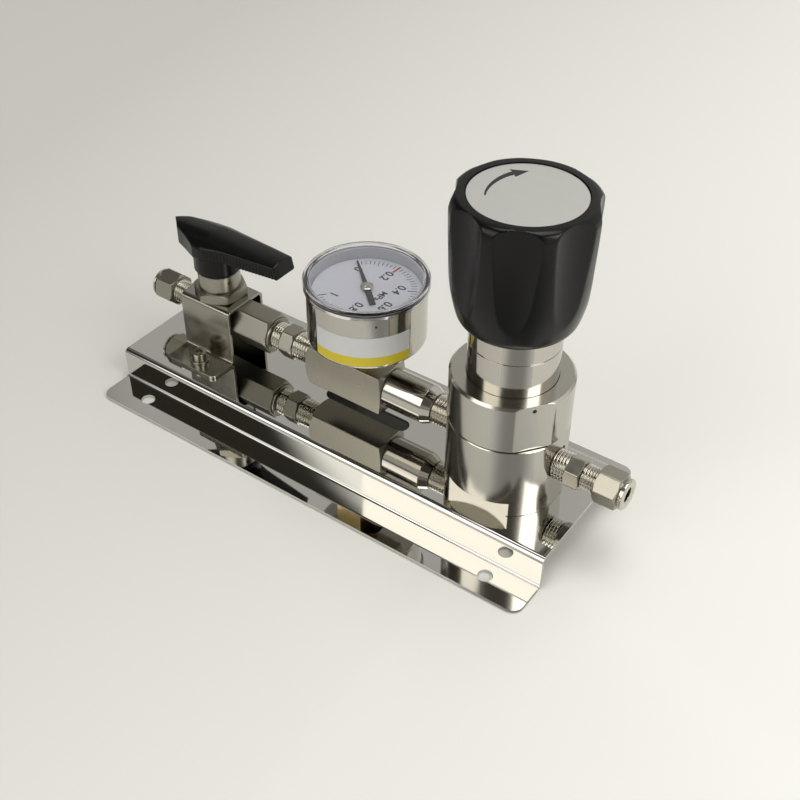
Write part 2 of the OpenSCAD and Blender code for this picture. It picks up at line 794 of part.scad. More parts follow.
module gauge_link() {
    a = link_start();
    b = link_end();
    color(brass) translate([gauge_axis, 0, movement_z]) {
        translate([a[0], a[1], 1.4]) cylinder(r = 1, h = 0.6);
        translate([b[0], b[1], 1.4]) cylinder(r = 1, h = 0.6);
        translate([a[0], a[1], 1.4]) rotate([0, 0, pivot_angle + 90]) translate([0, -0.6, 0])
            cube([link_length, 1.2, 0.6]);
        translate([a[0], a[1], 1.9]) cylinder(r = 0.5, h = 1.3);
        translate([b[0], b[1], 0.4]) cylinder(r = 0.5, h = 1.1);
    }
}

module gauge_pointer() {
    tip_angle = 138;
    color(black) translate([gauge_axis, 0, 0]) {
        translate([0, 0, movement_z]) {
            cylinder(r = 0.8, h = dial_z + 1 - movement_z);
            translate([0, 0, 2.4]) cylinder(r = pinion_radius - 0.7, h = 1.3);
            for (i = [0:pinion_teeth - 1])
                rotate([0, 0, pivot_angle + 360 / pinion_teeth * (i + 0.5)])
                    translate([pinion_radius - 0.9, 0, 2.4]) linear_extrude(height = 1.3)
                    polygon([[0, -0.32], [1.2, -0.14], [1.2, 0.14], [0, 0.32]]);
        }
        translate([0, 0, dial_z + 0.5]) rotate([0, 0, tip_angle]) {
            linear_extrude(height = 0.5) polygon([[-12.4, -1.3], [-3.2, -1.3], [0, -2.2], [3, -1],
                [20.8, -0.3], [20.8, 0.3], [3, 1], [0, 2.2], [-3.2, 1.3], [-12.4, 1.3]]);
            cylinder(r = 2.8, h = 0.9);
            translate([0, 0, 0.9]) cylinder(r1 = 1.6, r2 = 1.3, h = 0.7);
        }
    }
}

module gauge_dial() {
    color([0.96, 0.96, 0.95]) at_gauge() translate([0, 0, dial_z - 0.5]) difference() {
        cylinder(r = case_radius - 2.4, h = 0.5);
        translate([0, 0, -1]) cylinder(r = 1.5, h = 3);
    }
}

// outline of the case from its back to its rim, with a rounded back edge
function case_profile(r, z0, z1, corner) = concat([[0, z0]],
    [for (i = [0:4]) [r - corner + corner * sin(i * 22.5), z0 + corner - corner * cos(i * 22.5)]],
    [[r, z1], [0, z1]]);

module gauge_case() {
    color(steel) difference() {
        at_gauge() turned(case_profile(case_radius, case_z, rim_z, 1.5));
        at_gauge() turned(case_profile(case_radius - 0.8, case_z + 0.8, rim_z + 1, 0.7));
        translate([gauge_x, 0, case_z - 1]) cylinder(r = 6.4 + seat_gap, h = 3);
        // small pressure relief hole in the side
        at_gauge() rotate([0, 0, -45]) translate([case_radius - 3, 0, rim_z - 5.7])
            rotate([0, 90, 0]) cylinder(r = 0.5, h = 6);
    }
}

module gauge_cover() {
    r = case_radius + cover_wall;
    color([0.9, 0.94, 0.95, 0.4]) at_gauge() translate([0, 0, rim_z]) turned([
        [0, 0], [case_radius + seat_gap, 0], [case_radius + seat_gap, -1.7], [r, -1.7],
        [r, 1.6], [r - 0.7, 2.2], [r - 2.4, 2.2], [r - 2.7, 1.7], [r - 3.6, 1.7],
        [r - 4, 1.4], [0, 1.4]]);
}

// from the block to the regulator

module coupling() {
    body = coupling_right - 4 - coupling_left;
    color(steel) difference() {
        union() {
            along_row(block_right - 10)
                threaded(pipe_thread_radius - 0.5, pipe_thread_radius - 0.05, 10.1);
            along_row(coupling_left) turned([[0, 0], [coupling_radius - 0.4, 0],
                [coupling_radius, 0.4], [coupling_radius, body], [pipe_thread_radius + 0.4, body + 4],
                [0, body + 4]]);
        }
        along_row(block_right - 11) cylinder(r = flow_radius, h = 60);
        along_row(coupling_right - 10)
            cylinder(r1 = pipe_thread_radius - 0.4, r2 = pipe_thread_radius + 0.1, h = 10.1);
    }
}

module regulator_nipple() {
    left = coupling_right - 9;
    right = port_wall + 10;
    middle = (coupling_right + port_wall) / 2;
    color(satin) difference() {
        union() {
            along_row(left) threaded(pipe_thread_radius - 0.45, pipe_thread_radius, middle - left + 0.05);
            along_row(middle) threaded(pipe_thread_radius, pipe_thread_radius - 0.45, right - middle);
        }
        along_row(left - 1) cylinder(r = flow_radius, h = 60);
    }
}

// regulator

module at_regulator() {
    translate([regulator_x, 0, 0]) children();
}

module regulator_body() {
    r = regulator_radius;
    s = spigot_radius;
    color(steel) difference() {
        at_regulator() turned([[0, top], [r - 0.4, top], [r, top + 0.4], [r, split_z - 0.7],
            [r - 0.7, split_z], [s, split_z], [s, seat_z], [0, seat_z]]);
        // low flat in front, under the full round
        translate([regulator_x - 20, -r - 10, top - 1]) cube([40, 14.5, 8.3]);
        // leaning flat around the outlet
        translate([regulator_x + r - 0.25, 0, top]) rotate([0, -outlet_flat_lean, 0])
            translate([0, -30, -5]) cube([12, 60, body_height + 4.9]);
        // inlet port and passage
        along_row(port_wall - 1)
            cylinder(r1 = pipe_thread_radius + 0.15, r2 = pipe_thread_radius - 0.35, h = 12.5);
        along_row(port_wall) cylinder(r = 2.5, h = r - 4);
        // outlet port and the drilled way up to the diaphragm
        along_row(outlet_x - 11)
            cylinder(r1 = pipe_thread_radius - 0.35, r2 = pipe_thread_radius + 0.15, h = 14);
        along_row(regulator_x + 11.5) cylinder(r = 2.4, h = 6);
        translate([regulator_x + 12.5, 0, row_z]) cylinder(r = 1.6, h = seat_z - row_z);
        // poppet chamber, seat bore and the space under the diaphragm
        at_regulator() turned([[0, top + 2.5], [2.3, top + 2.5], [2.3, top + 7], [6, top + 7],
            [6, top + 23], [9, top + 23], [9, seat_z - 6], [16, seat_z - 6], [16, seat_z + 1],
            [0, seat_z + 1]]);
        // screw holes in the base and a small dimple beside the outlet
        for (side = [-1, 1]) translate(concat(regulator_screw_at(side), top - 1))
            cylinder(r = 2.5 + seat_gap, h = 12);
        along_row(regulator_x + r - 5) translate([-4.6, 5.2, 0]) cylinder(r = 0.9, h = 6);
    }
}

module regulator_screws() {
    color(satin) for (side = [-1, 1])
        translate(concat(regulator_screw_at(side), top - sheet - 5)) difference() {
            union() {
                rod(4.25, 5, 0.3);
                cylinder(r = 2.5, h = 15);
            }
            translate([0, 0, -1]) cylinder(r = 4 / sqrt(3), h = 3.6, $fn = 6);
        }
}

module poppet_seat() {
    color(soft) at_regulator() turned([[2.2, top + 23], [7.4, top + 23], [7.4, top + 26],
        [2.2, top + 26]]);
}

module seat_retainer() {
    color(satin) at_regulator() difference() {
        turned([[2.2, top + 26], [9 - seat_gap, top + 26], [9 - seat_gap, top + 33],
            [8.5, top + 33.5], [2.2, top + 33.5]]);
        translate([0, 0, top + 29]) cylinder(r = 8 / sqrt(3), h = 6, $fn = 6);
    }
}

module poppet() {
    color(steel) at_regulator() turned([[0, top + 8], [1.8, top + 8], [1.8, top + 13], [4, top + 13],
        [4, top + 21], [1.9, top + 22.9], [1.9, top + 23.2], [1.1, top + 24],
        [1.1, plate_z - 0.35], [0.8, plate_z - 0.3], [0, plate_z - 0.3]]);
}

module poppet_spring() {
    color(steel) at_regulator() coil(2.7, 0.8, top + 7, top + 13, 3.5, 6, 16);
}

// thin metal diaphragm with a flat rim, one cone and a flat centre
module diaphragm() {
    color(steel) at_regulator() turned([[0, plate_z - 0.3], [9, plate_z - 0.3], [15.2, seat_z],
        [20, seat_z], [20, clamp_z], [15.2, clamp_z], [9, plate_z], [0, plate_z]]);
}

module diaphragm_plate() {
    color(steel) at_regulator() turned([[0, plate_z], [8.8, plate_z], [11.6, plate_z + 1],
        [11.6, spring_z], [7.2, spring_z], [6.8, spring_z + 1.6], [0, spring_z + 1.6]]);
}

module bonnet() {
    c = cavity_radius;
    n = neck_radius;
    groove = seat_z + 27.2;
    color(steel) at_regulator() difference() {
        turned([[0, clamp_z], [spigot_radius - 0.1, clamp_z], [spigot_radius - 0.1, lip_z],
            [n, lip_z], [n, groove], [n - 0.4, groove + 0.15], [n - 0.4, groove + 0.45],
            [n + 0.1, groove + 0.6], [n + 0.1, ceiling_z + 1.2], [n - 1.2, ceiling_z + 2.5],
            [9.4, ceiling_z + 2.5], [9, ceiling_z + 3], [9, boss_z - 0.5], [8.5, boss_z],
            [0, boss_z]]);
        turned([[0, clamp_z - 1], [c, clamp_z - 1], [c, ceiling_z - 2], [c - 2, ceiling_z],
            [0, ceiling_z]]);
        translate([0, 0, ceiling_z - 1]) cylinder(r = 6 + seat_gap, h = 30);
    }
}

module cap_ring() {
    r = regulator_radius;
    color(steel) at_regulator() difference() {
        turned([[spigot_radius + seat_gap, ring_z], [r - 0.6, ring_z], [r, ring_z + 0.6],
            [r, ring_top - 1], [r - 1, ring_top], [neck_radius + 0.3, ring_top],
            [neck_radius + 0.3, lip_z], [spigot_radius + seat_gap, lip_z]]);
        // two spanner flats and the vent hole over one of them
        for (a = [-37, 143]) rotate([0, 0, a]) translate([r - ring_flat_depth, -20, ring_z - 1])
            cube([10, 40, ring_height + 2]);
        rotate([0, 0, -37.8]) translate([r - 6, 0, ring_top - 2.6]) rotate([0, 90, 0])
            cylinder(r = 0.9, h = 10);
    }
}

module range_spring() {
    color(steel) at_regulator() coil(9.3, 3.4, spring_z, button_z, 4.5, 8, 22);
}

module spring_button() {
    color(steel) at_regulator() turned([[0, button_z - 1.6], [6.6, button_z - 1.6],
        [7.2, button_z], [12.4, button_z], [12.4, button_z + 2.4], [7, screw_tip], [0, screw_tip]]);
}

module adjusting_screw() {
    color(satin) at_regulator() difference() {
        translate([0, 0, screw_tip]) threaded(6, 6, knob_top - 10 - screw_tip, 1.5);
        translate([0, 0, knob_top - 24]) cylinder(r = 2.5 + seat_gap, h = 20);
    }
}

// outline of the knob without its flutes: rounded foot, slow taper, broken top edge
function knob_profile() = let (k = knob_radius, z = knob_z, t = knob_top) [
    [19.7, z], [k - 7.2, z + 0.3], [k - 5.8, z + 1], [k - 4.7, z + 2.2], [k - 3.9, z + 3.9],
    [k - 2.6, z + 9], [k - 1.5, z + 15], [k - 0.8, z + 22], [k - 0.4, z + 31],
    [k - 0.1, z + 40], [k, t - 5], [k - 0.4, t - 3.3], [k - 1.1, t - 1.8], [k - 2.2, t - 0.8],
    [k - 3.5, t - 0.2], [k - 4.4, t], [disc_radius + 0.4, t], [disc_radius + 0.4, t - 1.2], [6, t - 1.2],
    [6, t - 6], [0, t - 6], [0, z]];

// one finger flute: a shallow upright hollow that runs out through the top edge, and comes
// to a point low down where the knob tapers in to meet it
module flute() {
    translate([knob_radius - flute_depth + flute_radius, 0, knob_z - 1])
        cylinder(r = flute_radius, h = knob_height + 2, $fn = 180);
}

module control_knob() {
    color(black) at_regulator() difference() {
        rotate_extrude() polygon(knob_profile());
        for (i = [0:flute_count - 1]) rotate([0, 0, -65.5 + 360 / flute_count * i]) flute();
        // skirt bore over the neck, then moulded pockets between four ribs
        translate([0, 0, knob_z - 1]) cylinder(r = 19.7, h = knob_ceiling - knob_z + 1);
        for (a = [0:90:270]) rotate([0, 0, a + 8]) rotate_extrude(angle = 74)
            translate([9.5, knob_ceiling - 1]) square([9.8, knob_top - knob_ceiling - 9]);
        // bore for the adjusting screw and its fixing screw
        translate([0, 0, knob_z]) cylinder(r = 6 + seat_gap, h = knob_height - 10);
        translate([0, 0, knob_z]) cylinder(r = 2.7, h = knob_height);
    }
}

module knob_screw() {
    color(satin) at_regulator() difference() {
        union() {
            translate([0, 0, knob_top - 6]) rod(4.25, 4.2, 0.3);
            translate([0, 0, knob_top - 22]) cylinder(r = 2.5, h = 17);
        }
        translate([0, 0, knob_top - 4]) cylinder(r = 4 / sqrt(3), h = 3, $fn = 6);
    }
}

module knob_disc() {
    color([0.78, 0.78, 0.77]) at_regulator() translate([0, 0, knob_top - 1.2])
        rod(disc_radius, 0.8, 0.15);
}

// outlet

module outlet_connector() {
    left = outlet_x - 10;
    end = outlet_nut_x + thread_depth - outlet_hex_x - outlet_hex;
    color(satin) difference() {
        union() {
            along_row(left)
                threaded(pipe_thread_radius - 0.45, pipe_thread_radius, outlet_hex_x - left + 0.1);
            along_row(outlet_hex_x) hex_bar(outlet_flats, outlet_hex, 0, 0.6);
            along_row(outlet_hex_x + outlet_hex - 0.1)
                threaded(tube_thread_radius, tube_thread_radius, end + 0.1, 1.27);
        }
        along_row(left - 1) cylinder(r = 2.4, h = 60);
        along_row(outlet_nut_x + thread_depth - 8) cylinder(r = tube_radius + seat_gap, h = 20);
        along_row(outlet_nut_x + thread_depth - 1.8)
            cylinder(r1 = tube_radius, r2 = tube_radius + 1.5, h = 1.9);
    }
}

module outlet_nut() {
    color(satin) along_row(outlet_nut_x) tube_nut(18);
}

module outlet_ferrules() {
    color(brass) along_row(outlet_nut_x) ferrule_pair();
}

panel();
valve_bracket();
bracket_screws();
bracket_washers();
bracket_nuts();
valve_body();
valve_end();
valve_seats();
valve_ball();
valve_stem();
stem_packing();
packing_cap();
lock_nut();
valve_handle();
handle_screw();
inlet_nut();
inlet_ferrules();
hex_nipple();
gauge_block();
gauge_socket();
bourdon_tube();
movement_frame();
gauge_link();
sector_gear();
gauge_pointer();
gauge_dial();
gauge_case();
gauge_cover();
coupling();
regulator_nipple();
regulator_body();
regulator_screws();
poppet_seat();
seat_retainer();
poppet();
poppet_spring();
diaphragm();
diaphragm_plate();
bonnet();
cap_ring();
range_spring();
spring_button();
adjusting_screw();
control_knob();
knob_screw();
knob_disc();
outlet_connector();
outlet_nut();
outlet_ferrules();
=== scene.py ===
import json
import math

import bmesh
import bpy
from mathutils import Matrix, Vector

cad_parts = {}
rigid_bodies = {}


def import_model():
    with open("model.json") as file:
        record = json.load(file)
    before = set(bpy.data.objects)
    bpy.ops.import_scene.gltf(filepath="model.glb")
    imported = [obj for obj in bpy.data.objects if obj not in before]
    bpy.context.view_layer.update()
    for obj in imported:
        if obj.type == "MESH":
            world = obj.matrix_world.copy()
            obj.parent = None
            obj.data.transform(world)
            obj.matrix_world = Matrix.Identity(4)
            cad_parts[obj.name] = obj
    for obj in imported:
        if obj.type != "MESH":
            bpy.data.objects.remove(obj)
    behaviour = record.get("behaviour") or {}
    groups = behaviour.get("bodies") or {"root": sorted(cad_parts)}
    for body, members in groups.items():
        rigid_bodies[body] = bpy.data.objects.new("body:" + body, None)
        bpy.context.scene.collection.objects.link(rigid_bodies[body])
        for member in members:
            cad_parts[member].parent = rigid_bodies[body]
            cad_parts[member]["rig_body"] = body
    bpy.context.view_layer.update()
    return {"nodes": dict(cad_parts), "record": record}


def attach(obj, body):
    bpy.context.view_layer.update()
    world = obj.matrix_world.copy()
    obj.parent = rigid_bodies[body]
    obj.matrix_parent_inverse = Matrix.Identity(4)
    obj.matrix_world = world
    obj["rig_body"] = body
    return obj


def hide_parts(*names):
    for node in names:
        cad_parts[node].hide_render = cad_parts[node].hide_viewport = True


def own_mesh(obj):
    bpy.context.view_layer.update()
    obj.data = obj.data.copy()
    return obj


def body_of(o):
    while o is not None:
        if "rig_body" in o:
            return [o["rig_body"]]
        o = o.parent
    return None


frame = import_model()
scene = bpy.context.scene

# sizes in millimetres, in the row frame: x with the flow, z up from the floor
MM = 0.001
TAU = math.tau
rad = math.radians

# x of the stem, the gauge and the regulator, and the height of the row of fittings
VALVE, GAUGE, REG = -80.0, 5.65, 77.5
ROW = 36.8
FLOW_R, TUBE_R = 3, 3.25
PIPE_R, PIPE_PITCH = 6.7, 1.41
STUB_R, STUB_PITCH = 5.55, 1.27

# folded sheets
SHEET, FOLD_R = 1.5, 2.7
PANEL_LENGTH, PANEL_WIDTH, PANEL_CORNER = 232, 102, 5
CHANNEL_WIDTH, TOP = 66, 17.0
HOLE_R, HOLE_X, HOLE_Y = 3.25, 95, 41
SLOT_X, SLOT_HALF, SLOT_R = 5, 18.6, 3.9
BRACKET_LENGTH, BRACKET_WIDTH, BRACKET_FEET, BRACKET_CORNER = 29.4, 24, 51.2, 2.5

# screws through the bracket's feet
SCREW_Y, SCREW_R, WASHER = 18.7, 2.0, 0.8
SHANK, HEAD_R, HEAD, SOCKET_R = 8.2, 3.5, 4.0, 1.73
SMALL_NUT_FLATS, SMALL_NUT = 7, 3.2

# shut-off valve
VALVE_START, VALVE_LENGTH, VALVE_FLATS = VALVE - 17, 50.4, 17.5
INLET_STUB, NECK_THREAD_R = 14.8, 7
FLAT_Z = ROW + VALVE_FLATS / 2
LOCK_NUT_FLATS, LOCK_NUT = 22.4, 5
CAP_Z = FLAT_Z + SHEET + LOCK_NUT
CAP_R, CAP_HEIGHT, CAP_HOLE_R, CAP_HOLE = 9.8, 8.45, 0.9, 5.2
HUB_Z = CAP_Z + CAP_HEIGHT + 0.4
SET_SCREW_R, SET_SCREW_Z = 2.0, 72.3

# lever handle, measured from the stem and from the hub's foot
REACH, TAIL, HUB_R, CROWN = 41.2, 24.3, 11.0, 16.4
LIFT = 80.5 - HUB_Z
ROOT_HALF, TIP_HALF, TAIL_HALF, TAIL_START, POINT = 9.9, 6.3, 5.0, 5, 5.4
SWELL, SWELL_REACH = 1.1, 8
ARM_FALL, TAIL_FALL = 0.0192, 0.0594
END_DROP, RAKE_START, RAKE = 7.8, 30, 0.25
UNDERSIDE = [(-TAIL, LIFT - 11.2), (-9, LIFT - 11.6), (10, LIFT - 9.2), (REACH, LIFT - END_DROP)]
RIB_PITCH, RIB_DEPTH = 1.766, 0.42

# fittings: where each starts along the row, and its length
TUBE_NUT_FLATS, TUBE_NUT = 14.29, 10.3
NIPPLE_X, NIPPLE_FLATS, NIPPLE = -40, 14, 7
BLOCK_X, BLOCK_LENGTH = -22.5, 41.6
BLOCK_HALF, BLOCK_CORNER_R = (10.0, 9.5), 13.55
BLOCK_FACE_R, BLOCK_CONE_RISE, BLOCK_CONE = 9.3, 5.5, 3.2
COUPLING_X, COUPLING, COUPLING_R = 19.1, 23.9, 9
OUTLET_X, OUTLET_HEX_X, OUTLET_STUB_X, OUTLET_NUT_X = 96.1, 107.47, 114.2, 120.97
OUTLET_FLATS, OUTLET_HEX, OUTLET_BORE_R = 12.7, 6.8, 2.4

# gauge
CASE_Z, RIM_Z, DIAL_Z = 60.6, 87.9, 82.8
CASE_R, CASE_WALL, CASE_FOOT_R, CASE_BEND = 25.7, 0.8, 6.5, 1.5
DIAL_R, TICK_R = 23.3, 21.1
DIAL_ZERO, DIAL_SWEEP = 138.5, 270.0
LABEL_FROM, LABEL_TO = -107, -11
LABEL_TOP, LABEL_SPLIT, LABEL_FOOT = 76.6, 66.9, 62.3

# regulator
DRUM_R, SPLIT, RING_TOP = 25.4, 51.9, 74.35
FOOT_CHAMFER, SEAM_CHAMFER, RING_CHAMFER = 0.4, 0.3, 1.0
SEAM = 0.45
FRONT_FLAT, FRONT_FLAT_TOP = 20.9, TOP + 7.3
SIDE_FLAT, SIDE_FLAT_LEAN = DRUM_R - 0.25, 3.4
RING_FLAT, RING_FLAT_AT = DRUM_R - 1.45, (-37, 143)
NECK_R, NECK_FOOT, NECK_TOP, GROOVE_Z = 18.5, 70, 100.5, 90.0

# fluted knob: its foot, its top and its radius, then the hollows and the flutes
KNOB_Z, KNOB_TOP, KNOB_R = 99.8, 153.6, 28.5
SKIRT_R, SKIRT_DEPTH = 19.7, 22
RECESS_R, RECESS = 22.4, 1.2
DISC_R, DISC_Z = 22, KNOB_TOP - 0.4
FLUTES, FLUTE_R, FLUTE_INNER, FLUTE_TURN, FLUTE_EDGE = 8, 26, 25.6, 65.5, 0.3

# small holes: radius and place
VENT_R, VENT_Z = 0.9, 71.75
DIMPLE_R, DIMPLE_PLACE = 0.8, (101.3, 5.2, 41.4)
CASE_HOLE_R, CASE_HOLE_Z, CASE_HOLE_AT = 0.5, 82.2, -45

# zones of the surroundings: azimuth, height, where each starts and ends to fade, in degrees, and its colour
ZONES = [(10, 25, 32, 62, (0.90, 0.88, 0.84)),
         (85, 30, 20, 36, (0.75, 0.74, 0.71)),
         (138, 36, 14, 28, (0.52, 0.51, 0.48)),
         (165, 35, 12, 20, (0.06, 0.055, 0.045)),
         (-150, 40, 16, 24, (0.05, 0.045, 0.036)),
         (0, 90, 26, 42, (0.07, 0.065, 0.055)),
         (-56, 40, 16, 26, (0.12, 0.11, 0.095)),
         (-110, 30, 19.6, 21.8, (2.2, 2.18, 2.1))]
BASE_TONE = (0.34, 0.335, 0.32, 1)


# sockets of a Mix node that mixes colours
MIX_A, MIX_B, MIX_OUT = 6, 7, 2


# materials

def shader_node(nt, kind, inputs=None, **settings):
    """A new node of a material, with its settings and its inputs' values."""
    node = nt.nodes.new("ShaderNode" + kind)
    for key, value in settings.items():
        setattr(node, key, value)
    for key, value in (inputs or {}).items():
        node.inputs[key].default_value = value
    return node


def new_material(name):
    m = bpy.data.materials.new(name)
    m.use_nodes = True
    return m, m.node_tree


def base_material(name, color, rough, metallic=0.0, noise=900.0, rough_step=0.04,
                  bump=0.0, bump_noise=2500.0, stretch=(1, 1, 1), tint=0.03):
    """A Principled surface with a little procedural change of colour, roughness and height."""
    m, nt = new_material(name)
    p = nt.nodes["Principled BSDF"]
    p.inputs["Metallic"].default_value = metallic
    co = shader_node(nt, "TexCoord")
    mp = shader_node(nt, "Mapping", {"Scale": stretch})
    grain = shader_node(nt, "TexNoise", {"Scale": noise, "Detail": 4})
    spread = shader_node(nt, "MapRange", {"To Min": max(rough - rough_step, 0.01),
                                          "To Max": rough + rough_step})
    ramp = shader_node(nt, "ValToRGB")
    ramp.color_ramp.elements[0].color = (*(c * (1 - tint) for c in color), 1)
    ramp.color_ramp.elements[1].color = (*(min(c * (1 + tint), 1) for c in color), 1)
    nt.links.new(co.outputs["Object"], mp.inputs["Vector"])
    nt.links.new(mp.outputs[0], grain.inputs["Vector"])
    nt.links.new(grain.outputs[0], spread.inputs["Value"])
    nt.links.new(spread.outputs[0], p.inputs["Roughness"])
    nt.links.new(grain.outputs[0], ramp.inputs[0])
    nt.links.new(ramp.outputs[0], p.inputs["Base Color"])
    if bump:
        fine = shader_node(nt, "TexNoise", {"Scale": bump_noise, "Detail": 3})
        height = shader_node(nt, "Bump", {"Strength": bump, "Distance": 0.0001})
        nt.links.new(mp.outputs[0], fine.inputs["Vector"])
        nt.links.new(fine.outputs[0], height.inputs["Height"])
        nt.links.new(height.outputs[0], p.inputs["Normal"])
    return m


def steel(name, color, rough, noise=300, **kw):
    return base_material(name, color, rough, metallic=1, noise=noise, **kw)


def turned_steel():
    """Steel whose gloss is drawn out by the tool marks that run round it."""
    m = steel("turned_steel", (0.50, 0.485, 0.44), 0.16, rough_step=0.03, bump=0.03, bump_noise=1200,
              stretch=(1, 1, 12))
    nt = m.node_tree
    p = nt.nodes["Principled BSDF"]
    round_it = shader_node(nt, "Tangent", direction_type="RADIAL", axis="Z")
    nt.links.new(round_it.outputs[0], p.inputs["Tangent"])
    p.inputs["Anisotropic"].default_value = 0.5
    return m


def black_gloss():
    m = base_material("black_gloss", (0.004, 0.004, 0.0042), 0.22, noise=300, bump=0.05, bump_noise=1500,
                      tint=0.1)
    m.node_tree.nodes["Principled BSDF"].inputs["Specular IOR Level"].default_value = 0.22
    return m


def clear_plastic():
    """Clear, faintly tinted plastic; the cover is a closed solid of it."""
    m, nt = new_material("clear_plastic")
    p = nt.nodes["Principled BSDF"]
    p.inputs["Transmission Weight"].default_value = 1.0
    p.inputs["IOR"].default_value = 1.45
    p.inputs["Base Color"].default_value = (0.93, 0.93, 0.97, 1)
    grain = shader_node(nt, "TexNoise", {"Scale": 300})
    spread = shader_node(nt, "MapRange", {"To Min": 0.02, "To Max": 0.06})
    nt.links.new(grain.outputs[0], spread.inputs["Value"])
    nt.links.new(spread.outputs[0], p.inputs["Roughness"])
    return m


MIRROR = steel("mirror_steel", (0.60, 0.592, 0.565), 0.03, 90, rough_step=0.01, stretch=(0.05, 1, 1))
POLISHED = steel("polished_steel", (0.52, 0.50, 0.455), 0.10, 500, rough_step=0.03, bump=0.05,
                 bump_noise=1200, stretch=(1, 1, 0.15))
TURNED = turned_steel()
SATIN = steel("satin_steel", (0.335, 0.317, 0.268), 0.29, rough_step=0.05, bump=0.06, bump_noise=1600)
BRIGHT = steel("thread_steel", (0.56, 0.54, 0.48), 0.16)
DRAWN = steel("drawn_steel", (0.30, 0.285, 0.24), 0.34, rough_step=0.06, bump=0.15, bump_noise=1500,
              stretch=(0.25, 1, 1))
BRACKET = steel("bracket_steel", (0.34, 0.325, 0.28), 0.17, 160, rough_step=0.05, bump=0.02, bump_noise=500)
WALL = base_material("case_inside", (0.62, 0.63, 0.66), 0.4, noise=120)
BRASS = base_material("brass_metal", (0.80, 0.62, 0.30), 0.25, metallic=1)
BLACK = black_gloss()
DARK = base_material("black_metal", (0.02, 0.02, 0.02), 0.35, metallic=0.4)
PAINT = base_material("black_paint", (0.008, 0.008, 0.009), 0.5)
PRINT = base_material("black_print", (0.015, 0.017, 0.022), 0.6)
RED = base_material("red_print", (0.55, 0.03, 0.06), 0.55)
DIAL = base_material("white_dial", (0.83, 0.85, 0.88), 0.5, tint=0.01)
SOFT = base_material("white_seal", (0.85, 0.84, 0.8), 0.5)
LABEL = base_material("blank_label", (0.66, 0.67, 0.67), 0.4, tint=0.01)
YELLOW = base_material("yellow_band", (0.68, 0.55, 0.015), 0.4, tint=0.02)
DISC = base_material("brushed_disc", (0.66, 0.66, 0.63), 0.38, metallic=0.75, noise=60, rough_step=0.05,
                     bump=0.25, bump_noise=400, stretch=(1, 22, 1))
# near-black painted shade, for the discs set in holes and behind the regulator's seam
PAINTED_SHADE = base_material("painted_shade_black", (0.01, 0.01, 0.01), 0.6)
CLEAR = clear_plastic()

SLOTS = {"polished_steel": POLISHED, "satin_steel": SATIN, "brass": BRASS, "black_plastic": BLACK,
         "black_steel": DARK, "seal_plastic": SOFT, "black_paint": PAINT, "white_paint": DIAL,
         "clear_plastic": CLEAR, "brushed_aluminium": DISC}


# mesh helpers

def up(x=0.0, y=0.0, z=0.0, turn=0.0):
    """Local +Z stays upright; turn is in degrees about it."""
    return Matrix.Translation((x, y, z)) @ Matrix.Rotation(rad(turn), 4, "Z")


def row(x, flip=False):
    """Local +Z lies along the row: +X, or -X if flipped."""
    m = Matrix.Translation((x, 0, ROW)) @ Matrix.Rotation(rad(90), 4, "Y")
    return m @ Matrix.Rotation(rad(180), 4, "X") if flip else m


def arc_points(cx, cy, r, a0, a1, steps=8):
    return [(cx + r * math.cos(rad(a0 + (a1 - a0) * k / steps)),
             cy + r * math.sin(rad(a0 + (a1 - a0) * k / steps))) for k in range(steps + 1)]


def circle(r, n):
    """n points round a circle, or the corners of a polygon."""
    return [(r * math.cos(TAU * k / n), r * math.sin(TAU * k / n)) for k in range(n)]


def bands(count, n, first=0):
    """Quads between count rings of n points, one ring after the other, from point number first."""
    faces = []
    for i in range(count - 1):
        a, b = first + i * n, first + (i + 1) * n
        for k in range(n):
            j = (k + 1) % n
            faces.append((a + k, a + j, b + j, b + k))
    return faces


def shade(bm, sharp):
    """Smooth shading, with a crease where two faces meet at more than sharp degrees."""
    for f in bm.faces:
        f.smooth = True
    for e in bm.edges:
        e.smooth = not (len(e.link_faces) == 2 and e.calc_face_angle(0) > rad(sharp))


def declare(ob, body=None, node=None, slot=None):
    """Says which body ob rides on and which CAD nodes it stands for; slot is not used."""
    if body:
        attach(ob, body)
    if node:
        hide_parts(*([node] if isinstance(node, str) else node))
    return ob


def add_object(name, mesh, mat):
    ob = bpy.data.objects.new(name, mesh)
    scene.collection.objects.link(ob)
    mesh.materials.clear()
    mesh.materials.append(mat)
    return ob


def piece(name, verts, faces, mat, place, sharp=28.0, weighted=True, **kw):
    """A mesh piece from points in millimetres, moved to its place; kw goes to declare."""
    me = bpy.data.meshes.new(name)
    me.from_pydata([(place @ Vector(v)) * MM for v in verts], [], faces)
    ob = add_object(name, me, mat)
    bm = bmesh.new()
    bm.from_mesh(me)
    bmesh.ops.remove_doubles(bm, verts=bm.verts, dist=1e-7)
    bmesh.ops.recalc_face_normals(bm, faces=bm.faces)
    shade(bm, sharp)
    bm.to_mesh(me)
    bm.free()
    if weighted:
        w = ob.modifiers.new("weighted", "WEIGHTED_NORMAL")
        w.keep_sharp = True
    return declare(ob, **kw)


